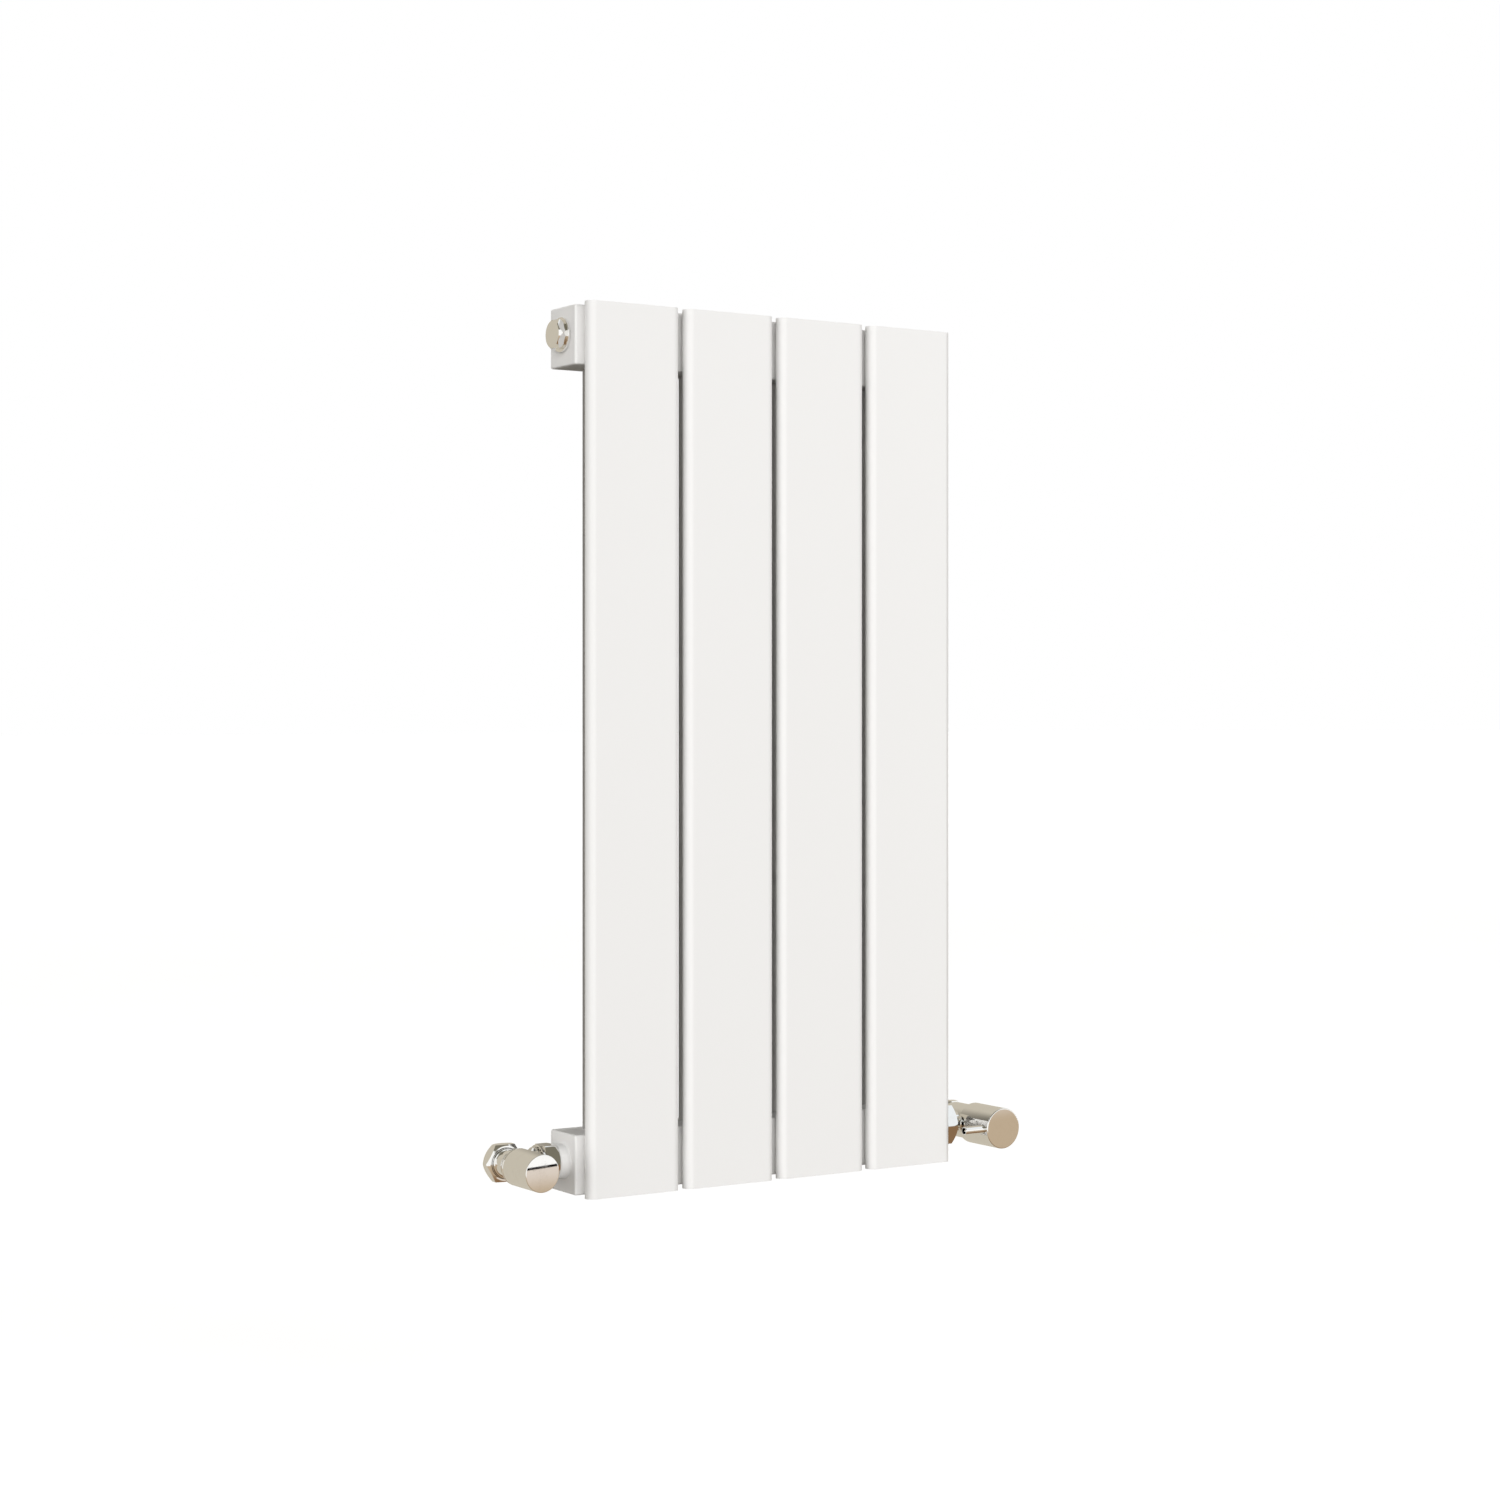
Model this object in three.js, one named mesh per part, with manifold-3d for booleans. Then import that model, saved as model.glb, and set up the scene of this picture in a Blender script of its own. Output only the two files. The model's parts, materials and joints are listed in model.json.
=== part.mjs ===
// A wall-hung steel radiator: four flat oval panels on two square headers, with a convector channel
// behind each panel, a corner lockshield valve on the left, a corner manual valve on the right, a
// blanking plug, a bleed plug and four wall brackets. Millimetres, +Z up, the room is on the -Y side.
// The origin is on the wall plane, behind the middle of the panels.
import * as THREE from 'three';
import { mergeVertices } from 'three/addons/utils/BufferGeometryUtils.js';
import Module from 'manifold-3d';

const wasm = await Module();
wasm.setup();

// ---------- clearances ----------
const seatGap = 0.3; // between pieces that touch, screw together or turn in each other
const slideGap = 0.3; // round a piece that slides
const tipGap = 0.1; // between the closed valve washer and its seat
const cutOver = 1; // how far a cutter runs past what it cuts
const weldTolerance = 1e-4; // vertices closer than this are one vertex

// ---------- panels ----------
const panelCount = 4;
const panelHeight = 600;
const panelWidth = 71;
const panelGap = 5.3;
const panelThickness = 11;
const panelWall = 1.5;
const panelCapThickness = 2.5;
const wallProjection = 74; // wall plane to the fronts of the panels

// ---------- headers ----------
const headerHeight = 40.4;
const headerDepth = 35;
const headerWall = 2;
const headerEdgeRadius = 1.4;
const headerInset = 1.75; // from the panel ends
const headerOverhang = 4.9; // beyond the outer panel edges
const portRadius = 9; // waterway between a header and a panel
const connectionRise = 1.15; // connections sit a little above the middle of the headers
const endPlateFlange = 2.5;
const endPlateSpigot = 8;
const threadRadius = 9.3; // half-inch pipe thread on tails and plugs
const bossWall = 2.15;
const bossLength = 7.5; // the left inlet only
const bossEdge = 0.5;

// ---------- convector channels ----------
const convectorInset = 14.3; // panel edge to channel side
const convectorDepth = 26.7;
const convectorSheet = 1.5;

// ---------- lugs and wall brackets ----------
const lugWidth = 30;
const lugDepth = 12;
const lugHeight = 22;
const lugSheet = 3;
const bracketWidth = 60;
const bracketSheet = 3;
const bracketDrop = 6; // plate below the arm
const bracketRise = 21; // plate above the arm
const tongueHeight = 17;
const tongueSideGap = 2; // each side of the tongue in its lug
const screwSlotRadius = 3.5;
const screwSlotLength = 13;
const screwSlotInset = 10.5; // plate end to slot middle

// ---------- blanking and bleed plugs ----------
const plugFlangeOverlap = 0.7; // beyond the recess of the plug's ring
const plugFlangeThickness = 1.2;
const plugHexFlats = 19;
const plugHexLength = 6.6;
const plugFaceRadius = 9.4;
const plugShankLength = 9.5;
const plugRing = { tubeRadius: 0.9, grooveDepth: 0.7 };
const bleedHexLength = 4.6; // lower than the blanking plug's
const bleedSpindleRadius = 2.6;
const bleedHeadSide = 5; // square head for a radiator key
const bleedHeadLength = 5;
const bleedPocketRadius = 4.6;
const bleedPocketDepth = 5.6;
const bleedSeatDepth = 14;
const bleedVentRadius = 1.2;
const bleedConeLength = 1.5;

// ---------- valves, shared ----------
// The outlet axis, -Y towards the room, is 0 for what lies along a barrel.
const barrelLand = 0.6; // straight stretch behind the barrel's front edge
const barrelFrontOverlap = 0.4; // front of the barrel beyond the outlet neck
const neckWall = 1.05;
const chamberWall = 1.5;
const waterwayRadius = 5.2;
const seatFront = 4;
const seatThickness = 2.5;
const pipeRadius = 7.5; // 15 mm copper pipe
const pipeClearance = 0.15;
const inletThreadWall = 2.55;
const inletThreadLength = 4.6;
const oliveLength = 2.7;
const oliveRim = 0.6;
const oliveSeatSlope = 1;
const oliveClearance = 0.4; // round its crown, in the nut
const compressionNut = { wall: 1.95, length: 9.6, chamfer: 1.4 };
const outletNeckWall = 2.9;
const outletRingOverlap = 0.8;
const outletRingWidth = 1.1;
const outletRingClearance = 0.8; // handle to ring, along the outlet
const outletGroove = 1.3; // between the ring and the union nut
const unionNutChamfer = 1.1;
const unionCollarOverlap = 0.4;
const nutLip = 2;
const tailFlange = 2;
const tailFlangeOverlap = 0.9;
const tailKeyFlats = 9;
const tailReach = 11; // thread that enters the radiator
const tailPoint = 1;
const plugLift = 3;

// ---------- headgear, spindle and valve plug ----------
const spindleRadius = 2.9;
const spindleFlat = { depth: 0.4, length: 8 };
const glandRing = { tubeRadius: 0.85, inset: 1.6 };
const headgearNeckWall = 0.9; // round the gland
const headgearNeckLength = 6;
const headgearHexStep = 2.1; // neck to a flat of the hexagon
const headgearHexLength = 4;
const headgearShoulder = 0.8; // closed end of the skirt
const headgearSkirt = 5;
const headgearSkirtWall = 1.4;
const valvePlug = { wall: 2, floor: 1.5, length: 7.4 };
const washerThickness = 1.5;
const washerInset = 0.2; // plug edge to washer edge
const seatLand = 0.8; // width of seat that the washer covers

// ---------- lockshield valve, left ----------
const lockshield = {
  shoulderStart: -8.5,
  shoulderEnd: -2.5,
  neckEnd: 10.1,
  unionNutWall: 1.5,
  unionHexLength: 9.9,
  unionCollar: 2.6,
  spindleTip: -27,
};
const cap = { front: -41, roof: 2.8, wall: 1.4, hexClearance: 2.6, faceBevel: 0.5 };

// ---------- manual valve, right ----------
const manual = {
  shoulderStart: 13.5,
  shoulderEnd: 17,
  neckEnd: 17.3,
  unionNutWall: 3.6,
  unionHexLength: 11.8,
  unionCollar: 0,
  spindleTip: -42.4,
};
const handle = {
  front: -44.7,
  wall: 3.5,
  hexClearance: 2.7,
  core: 12.5,
  socketWall: 2,
  faceBevel: 0.7,
  rearRadius: 1.2,
  rearMiddle: 0.3, // share of the rear radius left at the middle of its round
};
const lever = {
  radius: 2.97, setback: 5.4, reach: 16.9, fit: 0.15, edge: 0.4, socket: 2.1, socketDepth: 3.5,
};

// ---------- facets ----------
const fineSegments = 24;
const roundSegments = 20;
const smallSegments = 16;
const arcSteps = 4;
const panelArcSteps = 6;
const headerArcSteps = 3;
const ringSteps = 6;

// ---------- places worked out from the sizes ----------
const panelPitch = panelWidth + panelGap;
const radiatorWidth = panelPitch * panelCount - panelGap;
const panelFront = -wallProjection;
const panelBack = panelFront + panelThickness;
const headerFront = panelBack + seatGap;
const headerBack = panelBack + headerDepth;
const headerMiddleY = (panelBack + headerBack) / 2;
const headerMiddleZ = panelHeight / 2 - headerInset - headerHeight / 2;
const headerEnd = radiatorWidth / 2 + headerOverhang;
const headerTubeEnd = headerEnd - endPlateFlange - seatGap;
const topConnection = headerMiddleZ + connectionRise;
const bottomConnection = -headerMiddleZ + connectionRise;
const lugSpread = panelPitch; // centre of the radiator to a lug, which is behind a gap
const boreRadius = threadRadius + seatGap;
const bossRadius = boreRadius + bossWall;

const plugGroove = threadRadius - plugRing.grooveDepth;
const plugRingMiddle = plugGroove + seatGap + plugRing.tubeRadius;
const ringSeatRadius = plugRingMiddle + plugRing.tubeRadius + seatGap;
const ringSeatDepth = 2 * plugRing.tubeRadius + seatGap;
const plugFlangeRadius = ringSeatRadius + plugFlangeOverlap;

const glandLength = 2 * (glandRing.tubeRadius + seatGap);
const headgearNeckRadius = spindleRadius + slideGap + glandLength + headgearNeckWall;
const headgearHexFlats = 2 * (headgearNeckRadius + headgearHexStep);
const valvePlugRadius = spindleRadius + seatGap + valvePlug.wall;
const washerRadius = valvePlugRadius - washerInset;
const seatRadius = washerRadius - seatLand;
const chamberRadius = valvePlugRadius + slideGap + headgearSkirtWall + seatGap;

const barrelRadius = headgearHexFlats / 2 + cap.hexClearance + cap.wall;
const handleBore = headgearHexFlats / 2 + handle.hexClearance;
const handleRadius = handleBore + handle.wall;
const leverTip = handleRadius + lever.reach;

const socketRadius = pipeRadius + pipeClearance;
const neckRadius = Math.max(socketRadius + neckWall, chamberRadius + chamberWall);
const inletThreadRadius = Math.max(socketRadius + inletThreadWall, neckRadius);
const compressionNutFlats = 2 * (inletThreadRadius + seatGap + compressionNut.wall);
const outletThreadRadius = threadRadius + tailFlangeOverlap;
const outletNeckRadius = waterwayRadius + outletNeckWall;
const outletRingRadius = outletThreadRadius + outletRingOverlap;
const barrelFront = -outletNeckRadius - barrelFrontOverlap;
const unionNutFlats = (form) => 2 * (outletThreadRadius + seatGap + form.unionNutWall);
const outletRingToFace = outletRingWidth + outletGroove + manual.unionHexLength + seatGap;
const valveReach = handleRadius + outletRingClearance + outletRingToFace; // to the barrel axis
const panelCentres = Array.from({ length: panelCount }, (_, i) => (i - (panelCount - 1) / 2) * panelPitch);

// ---------- materials ----------
function finish(color, roughness, metalness) {
  return new THREE.MeshStandardMaterial({ color, roughness, metalness });
}

const whitePaint = finish(0xefeeec, 0.45, 0);
const chrome = finish(0xcfc6b4, 0.12, 1);
const brass = finish(0xb8904c, 0.35, 1);
const zincSteel = finish(0xa9abad, 0.4, 1);
const blackRubber = finish(0x1c1c1c, 0.8, 0);

// ---------- solids ----------
function signedVolume(points, corners) {
  const a = new THREE.Vector3();
  const b = new THREE.Vector3();
  const c = new THREE.Vector3();
  let total = 0;
  for (let i = 0; i < corners.length; i += 3) {
    a.fromArray(points, corners[i] * 3);
    b.fromArray(points, corners[i + 1] * 3);
    c.fromArray(points, corners[i + 2] * 3);
    total += a.dot(b.cross(c)) / 6;
  }
  return total;
}

// Welds a geometry's vertices, drops the triangles that a pole leaves with no area, and faces it outwards.
function toSolid(geometry) {
  const bare = geometry.clone();
  bare.deleteAttribute('normal');
  bare.deleteAttribute('uv');
  const welded = mergeVertices(bare, weldTolerance);
  const points = new Float32Array(welded.attributes.position.array);
  const source = welded.index.array;
  const corners = [];
  for (let i = 0; i < source.length; i += 3) {
    const [a, b, c] = [source[i], source[i + 1], source[i + 2]];
    if (a !== b && b !== c && c !== a) corners.push(a, b, c);
  }
  if (signedVolume(points, corners) < 0) corners.reverse();
  const triVerts = new Uint32Array(corners);
  return new wasm.Manifold(new wasm.Mesh({ numProp: 3, vertProperties: points, triVerts }));
}

function toGeometry(solid) {
  const { vertProperties, triVerts } = solid.getMesh();
  const geometry = new THREE.BufferGeometry();
  geometry.setAttribute('position', new THREE.BufferAttribute(new Float32Array(vertProperties), 3));
  geometry.setIndex(new THREE.BufferAttribute(new Uint32Array(triVerts), 1));
  geometry.computeVertexNormals();
  return geometry;
}

function place(parent, name, solid, material) {
  const mesh = new THREE.Mesh(toGeometry(solid), material);
  mesh.name = name;
  parent.add(mesh);
}

// ---------- shapes ----------
// A turned piece about local Y. The outline is [radius, along] points, closed or from axis to axis.
function turnedGeometry(outline, segments = roundSegments, start = 0) {
  const points = outline.map(([radius, along]) => new THREE.Vector2(radius, along));
  const onAxis = outline[0][0] === 0;
  if (!onAxis) points.push(points[0].clone());
  return new THREE.LatheGeometry(points, segments, start);
}

const turned = (outline, segments, start) => toSolid(turnedGeometry(outline, segments, start));

// The same, about X, with the outline's second value along +X.
const turnedX = (outline, segments, start) =>
  toSolid(turnedGeometry(outline, segments, start).rotateZ(-Math.PI / 2));

const rod = (radius, from, to, segments) => [[0, from], [radius, from], [radius, to], [0, to]];

function box(size, centre) {
  return toSolid(new THREE.BoxGeometry(...size).translate(...centre));
}

// A hexagon outline for turned(): with sixth = 0 a corner points along local Z.
const hexSides = 6;
const flatUp = Math.PI / hexSides;
const cornerRadius = (flats) => flats / 2 / Math.cos(Math.PI / hexSides);

// Cuts a hexagon's corners back to a cone at each end that is chamfered.
function hexBlank(flats, from, to, frontChamfer, backChamfer) {
  const corner = cornerRadius(flats);
  return [
    [0, from],
    [corner - frontChamfer * Math.sqrt(3), from],
    [corner + seatGap, from + frontChamfer + seatGap / Math.sqrt(3)],
    [corner + seatGap, to - backChamfer - seatGap / Math.sqrt(3)],
    [corner - backChamfer * Math.sqrt(3), to],
    [0, to],
  ];
}

// A quarter-wave shoulder from one radius to another.
function shoulder(fromRadius, toRadius, from, to, steps = arcSteps) {
  return Array.from({ length: steps + 1 }, (_, i) => {
    const share = i / steps;
    const drop = (1 - Math.cos(Math.PI * share)) / 2;
    return [fromRadius + (toRadius - fromRadius) * drop, from + (to - from) * share];
  });
}

// A rubber ring about local Y, as an outline for turned().
function ringOutline(middleRadius, tubeRadius, along) {
  return Array.from({ length: ringSteps }, (_, i) => {
    const angle = (i / ringSteps) * Math.PI * 2;
    return [middleRadius + tubeRadius * Math.cos(angle), along + tubeRadius * Math.sin(angle)];
  });
}

function stadium(width, height, target = new THREE.Shape()) {
  const radius = height / 2;
  const straight = width / 2 - radius;
  target.absarc(straight, 0, radius, -Math.PI / 2, Math.PI / 2, false);
  target.absarc(-straight, 0, radius, Math.PI / 2, Math.PI * 1.5, false);
  return target;
}

function roundedRectangle(width, height, radius, target = new THREE.Shape()) {
  const x = width / 2 - radius;
  const y = height / 2 - radius;
  target.absarc(x, -y, radius, -Math.PI / 2, 0, false);
  target.absarc(x, y, radius, 0, Math.PI / 2, false);
  target.absarc(-x, y, radius, Math.PI / 2, Math.PI, false);
  target.absarc(-x, -y, radius, Math.PI, Math.PI * 1.5, false);
  return target;
}

function extruded(shape, depth, curveSegments = arcSteps) {
  return new THREE.ExtrudeGeometry(shape, { depth, curveSegments, steps: 1, bevelEnabled: false });
}

// ---------- the radiator ----------
function panelTube(x) {
  const outline = stadium(panelWidth, panelThickness);
  outline.holes.push(stadium(panelWidth - 2 * panelWall, panelThickness - 2 * panelWall, new THREE.Path()));
  const middleY = panelFront + panelThickness / 2;
  const tube = toSolid(extruded(outline, panelHeight, panelArcSteps).translate(x, middleY, -panelHeight / 2));
  const port = turnedGeometry(rod(portRadius, middleY, panelBack + seatGap), smallSegments);
  const topPort = toSolid(port.clone().translate(x, 0, headerMiddleZ));
  const bottomPort = toSolid(port.clone().translate(x, 0, -headerMiddleZ));
  return tube.subtract(topPort).subtract(bottomPort);
}

function panelEndCap(x, side) {
  const inset = 2 * (panelWall + seatGap);
  const outline = stadium(panelWidth - inset, panelThickness - inset);
  const plate = extruded(outline, panelCapThickness, panelArcSteps);
  const bottom = side > 0 ? panelHeight / 2 - panelCapThickness : -panelHeight / 2;
  return toSolid(plate.translate(x, panelFront + panelThickness / 2, bottom));
}

// A folded channel: two sides and a web, open towards the panel and at both ends.
function convectorChannel(x) {
  const width = panelWidth - 2 * convectorInset;
  const height = 2 * (headerMiddleZ - headerHeight / 2 - seatGap);
  const front = panelBack + seatGap;
  const outer = box([width, convectorDepth, height], [x, front + convectorDepth / 2, 0]);
  const inner = box(
    [width - 2 * convectorSheet, convectorDepth, height + 2 * cutOver],
    [x, front + convectorDepth / 2 - convectorSheet, 0],
  );
  return outer.subtract(inner);
}

// Turns a shape drawn in X and Y, and extruded along Z, so that it runs along X with its height up.
const runAlongX = (geometry) => geometry.rotateY(Math.PI / 2).rotateX(Math.PI / 2);

function headerBar(depth, height, length, radius) {
  const bar = extruded(roundedRectangle(depth, height, radius), length, headerArcSteps);
  return runAlongX(bar.translate(0, 0, -length / 2));
}

function headerTube(z) {
  const depth = headerBack - headerFront;
  const middleY = (headerFront + headerBack) / 2;
  const length = 2 * headerTubeEnd;
  const bar = headerBar(depth, headerHeight, length, headerEdgeRadius);
  const outer = toSolid(bar.translate(0, middleY, z));
  const inner = box(
    [length + 2 * cutOver, depth - 2 * headerWall, headerHeight - 2 * headerWall],
    [0, middleY, z],
  );
  const port = turnedGeometry(rod(portRadius, headerFront - cutOver, middleY), smallSegments);
  const ports = panelCentres.map((x) => toSolid(port.clone().translate(x, 0, z)));
  return ports.reduce((tube, port) => tube.subtract(port), outer.subtract(inner));
}

// A flange the size of the header and a spigot that fits in the tube, bored for a pipe thread.
// A plate with a seat has a recess for a plug's rubber ring.
function headerEndPlate(side, headerZ, connectionZ, hasRingSeat) {
  const depth = headerBack - headerFront;
  const middleY = (headerFront + headerBack) / 2;
  const flange = toSolid(
    headerBar(depth, headerHeight, endPlateFlange, headerEdgeRadius)
      .translate(side * (headerEnd - endPlateFlange / 2), middleY, headerZ),
  );
  const spigotInset = 2 * (headerWall + seatGap);
  const overlap = endPlateFlange / 2;
  const spigot = box(
    [endPlateSpigot + overlap, depth - spigotInset, headerHeight - spigotInset],
    [side * (headerEnd - endPlateFlange - (endPlateSpigot - overlap) / 2), middleY, headerZ],
  );
  const plateDepth = endPlateFlange + endPlateSpigot;
  const bore = turnedX(rod(boreRadius, headerEnd - plateDepth - cutOver, headerEnd + cutOver));
  const recess = turnedX(rod(ringSeatRadius, headerEnd - ringSeatDepth, headerEnd + cutOver));
  const cut = hasRingSeat ? bore.add(recess) : bore;
  const turnedCut = side > 0 ? cut : cut.rotate([0, 0, 180]);
  return flange.add(spigot).subtract(turnedCut.translate([0, headerMiddleY, connectionZ]));
}

function inletBoss(side) {
  const start = headerEnd + seatGap;
  const end = headerEnd + bossLength;
  const ring = turnedX([
    [boreRadius, start],
    [bossRadius, start],
    [bossRadius, end - bossEdge],
    [bossRadius - bossEdge, end],
    [boreRadius, end],
  ], fineSegments);
  const faced = side > 0 ? ring : ring.rotate([0, 0, 180]);
  return faced.translate([0, headerMiddleY, bottomConnection]);
}

// A staple of folded strip on the back of a header: the bracket's tongue stands up inside it.
function hangingLug(x, z) {
  const front = headerBack + seatGap;
  const outer = box([lugWidth, lugDepth, lugHeight], [x, front + lugDepth / 2, z]);
  const slot = box(
    [lugWidth - 2 * lugSheet, lugDepth, lugHeight + 2 * cutOver],
    [x, front + lugDepth / 2 - lugSheet, z],
  );
  return outer.subtract(slot);
}

// A wall plate with two screw slots, an arm and an upturned tongue.
function wallBracket(x, lugZ) {
  const armTop = lugZ - lugHeight / 2 - seatGap;
  const armMiddle = armTop - bracketSheet / 2;
  const plateBottom = armTop - bracketSheet - bracketDrop;
  const plateTop = armTop + bracketRise;
  const plateHeight = plateTop - plateBottom;
  const plateMiddle = (plateTop + plateBottom) / 2;
  const plate = box([bracketWidth, bracketSheet, plateHeight], [x, -bracketSheet / 2, plateMiddle]);
  const tongueBack = headerBack + seatGap + lugDepth - lugSheet - seatGap;
  const tongueFront = tongueBack - bracketSheet;
  const tongueWidth = lugWidth - 2 * lugSheet - 2 * tongueSideGap;
  const overlap = bracketSheet / 2;
  const armLength = -tongueFront - overlap;
  const arm = box([tongueWidth, armLength, bracketSheet], [x, tongueFront + armLength / 2, armMiddle]);
  const tongue = box(
    [tongueWidth, bracketSheet, tongueHeight + bracketSheet],
    [x, (tongueFront + tongueBack) / 2, armTop + (tongueHeight - bracketSheet) / 2],
  );
  const slotShape = stadium(screwSlotLength, 2 * screwSlotRadius);
  const slotCut = extruded(slotShape, bracketSheet + 2 * cutOver, panelArcSteps)
    .rotateX(Math.PI / 2)
    .translate(x, cutOver, plateMiddle);
  const slotX = bracketWidth / 2 - screwSlotInset;
  const cuts = [-1, 1].map((side) => toSolid(slotCut.clone().translate(side * slotX, 0, 0)));
  return plate.add(arm).add(tongue).subtract(cuts[0]).subtract(cuts[1]);
}

// ---------- plugs in the top header ----------
// Both are drawn with +X out of the radiator, 0 at the header's end face.
function plugBody(hexLength) {
  const hexStart = seatGap + plugFlangeThickness / 2;
  const hexEnd = seatGap + plugFlangeThickness + hexLength;
  const chamfer = (cornerRadius(plugHexFlats) - plugFaceRadius) / Math.sqrt(3);
  const hex = turnedX(rod(cornerRadius(plugHexFlats), hexStart, hexEnd), hexSides)
    .intersect(turnedX(hexBlank(plugHexFlats, hexStart - cutOver, hexEnd, 0, chamfer)));
  const shank = turnedX([
    [0, -plugShankLength],
    [threadRadius, -plugShankLength],
    [threadRadius, -ringSeatDepth],
    [plugGroove, -ringSeatDepth],
    [plugGroove, seatGap],
    [plugFlangeRadius, seatGap],
    [plugFlangeRadius, seatGap + plugFlangeThickness],
    [0, seatGap + plugFlangeThickness],
  ]);
  return shank.add(hex);
}

function plugRingSeal() {
  return turnedX(ringOutline(plugRingMiddle, plugRing.tubeRadius, -plugRing.tubeRadius), smallSegments);
}

function bleedPlug() {
  const face = seatGap + plugFlangeThickness + bleedHexLength;
  const bore = turnedX([
    [0, -plugShankLength - cutOver],
    [bleedVentRadius, -plugShankLength - cutOver],
    [bleedVentRadius, face - bleedSeatDepth],
    [bleedSpindleRadius + seatGap, face - bleedSeatDepth + bleedConeLength],
    [bleedSpindleRadius + seatGap, face - bleedPocketDepth],
    [bleedPocketRadius, face - bleedPocketDepth],
    [bleedPocketRadius, face + cutOver],
    [0, face + cutOver],
  ], smallSegments);
  return plugBody(bleedHexLength).subtract(bore);
}

function bleedScrew() {
  const face = seatGap + plugFlangeThickness + bleedHexLength;
  const headBack = face - bleedHeadLength;
  const coneTip = face - bleedSeatDepth + seatGap * 2;
  const stem = turnedX([
    [0, coneTip],
    [bleedVentRadius, coneTip],
    [bleedSpindleRadius, coneTip + bleedConeLength],
    [bleedSpindleRadius, headBack + cutOver],
    [0, headBack + cutOver],
  ], smallSegments);
  const head = box([bleedHeadLength, bleedHeadSide, bleedHeadSide], [face - bleedHeadLength / 2, 0, 0]);
  return stem.add(head);
}

// ---------- valve pieces ----------
// Each is drawn round the point where the outlet axis, local +X towards the radiator, meets the barrel
// axis, local Y, with -Y towards the room. The right valve is the same turned half round.
const nutFace = valveReach - seatGap;
const outletEnd = nutFace - nutLip - seatGap - tailFlange - seatGap;
const unionNutBack = (form) => nutFace - form.unionHexLength - form.unionCollar;

function valveBody(form) {
  const threadStart = form.neckEnd + seatGap * 2;
  const threadEnd = threadStart + inletThreadLength;
  const shoulderStart = Math.max(form.shoulderStart, barrelFront + barrelLand);
  const barrel = turned([
    [chamberRadius, barrelFront],
    [barrelRadius, barrelFront],
    ...shoulder(barrelRadius, neckRadius, shoulderStart, form.shoulderEnd),
    [neckRadius, threadStart],
    [inletThreadRadius, threadStart],
    [inletThreadRadius, threadEnd],
    [socketRadius, threadEnd],
    [socketRadius, seatFront + seatThickness + cutOver],
    [seatRadius, seatFront + seatThickness],
    [seatRadius, seatFront],
    [chamberRadius, seatFront],
  ], fineSegments);
  const ringEnd = unionNutBack(form) - outletGroove;
  const outlet = turnedX([
    [0, 0],
    [outletNeckRadius, 0],
    [outletNeckRadius, ringEnd - outletRingWidth],
    [outletRingRadius, ringEnd - outletRingWidth],
    [outletRingRadius, ringEnd],
    [outletNeckRadius, ringEnd],
    [outletNeckRadius, ringEnd + outletGroove + cutOver],
    [outletThreadRadius, ringEnd + outletGroove + cutOver],
    [outletThreadRadius, outletEnd],
    [0, outletEnd],
  ]);
  const socketFront = seatFront + seatThickness + cutOver;
  const chamber = turned(rod(chamberRadius, barrelFront - cutOver, seatFront));
  const seatBore = turned(rod(seatRadius, seatFront - cutOver, socketFront));
  const socket = turned(rod(socketRadius, socketFront, threadEnd + cutOver));
  const waterway = turnedX(rod(waterwayRadius, washerRadius, outletEnd + cutOver), smallSegments);
  return barrel.add(outlet.subtract(chamber).subtract(seatBore).subtract(socket)).subtract(waterway);
}

function unionNut(form) {
  const flats = unionNutFlats(form);
  const hexEnd = nutFace - form.unionHexLength;
  const back = unionNutBack(form);
  const hex = turnedX(rod(cornerRadius(flats), hexEnd, nutFace), hexSides, flatUp);
  const blunt = turnedX(hexBlank(flats, hexEnd, nutFace, 0, unionNutChamfer), fineSegments);
  const faced = hex.intersect(blunt);
  const collar = turnedX(rod(flats / 2 + unionCollarOverlap, back, hexEnd + cutOver), fineSegments);
  const blank = form.unionCollar > 0 ? faced.add(collar) : faced;
  const bore = turnedX([
    [0, back - cutOver],
    [outletThreadRadius + seatGap, back - cutOver],
    [outletThreadRadius + seatGap, nutFace - nutLip],
    [threadRadius + seatGap, nutFace - nutLip],
    [threadRadius + seatGap, nutFace + cutOver],
    [0, nutFace + cutOver],
  ]);
  return blank.subtract(bore);
}

// The tail screws into the radiator, and its flange is held by the lip of the union nut.
function valveTail() {
  const flangeEnd = nutFace - nutLip - seatGap;
  const end = valveReach + tailReach;
  const outer = turnedX([
    [0, flangeEnd - tailFlange],
    [outletThreadRadius, flangeEnd - tailFlange],
    [outletThreadRadius, flangeEnd],
    [threadRadius, flangeEnd],
    [threadRadius, end - tailPoint],
    [threadRadius - tailPoint, end],
    [0, end],
  ]);
  const keyway = turnedX(rod(cornerRadius(tailKeyFlats), 0, end + cutOver), hexSides, flatUp);
  return outer.subtract(keyway);
}

function compressionNutSolid(form) {
  const front = form.neckEnd + seatGap;
  const back = front + compressionNut.length;
  const flats = compressionNutFlats;
  const { chamfer } = compressionNut;
  const oliveEnd = front + seatGap * 2 + inletThreadLength + oliveLength;
  const hex = turned(rod(cornerRadius(flats), front, back), hexSides, flatUp)
    .intersect(turned(hexBlank(flats, front, back, chamfer, chamfer), fineSegments));
  const bore = turned([
    [0, front - cutOver],
    [inletThreadRadius + seatGap, front - cutOver],
    [inletThreadRadius + seatGap, oliveEnd],
    [socketRadius, oliveEnd + oliveSeatSlope],
    [socketRadius, back + cutOver],
    [0, back + cutOver],
  ]);
  return hex.subtract(bore);
}

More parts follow.
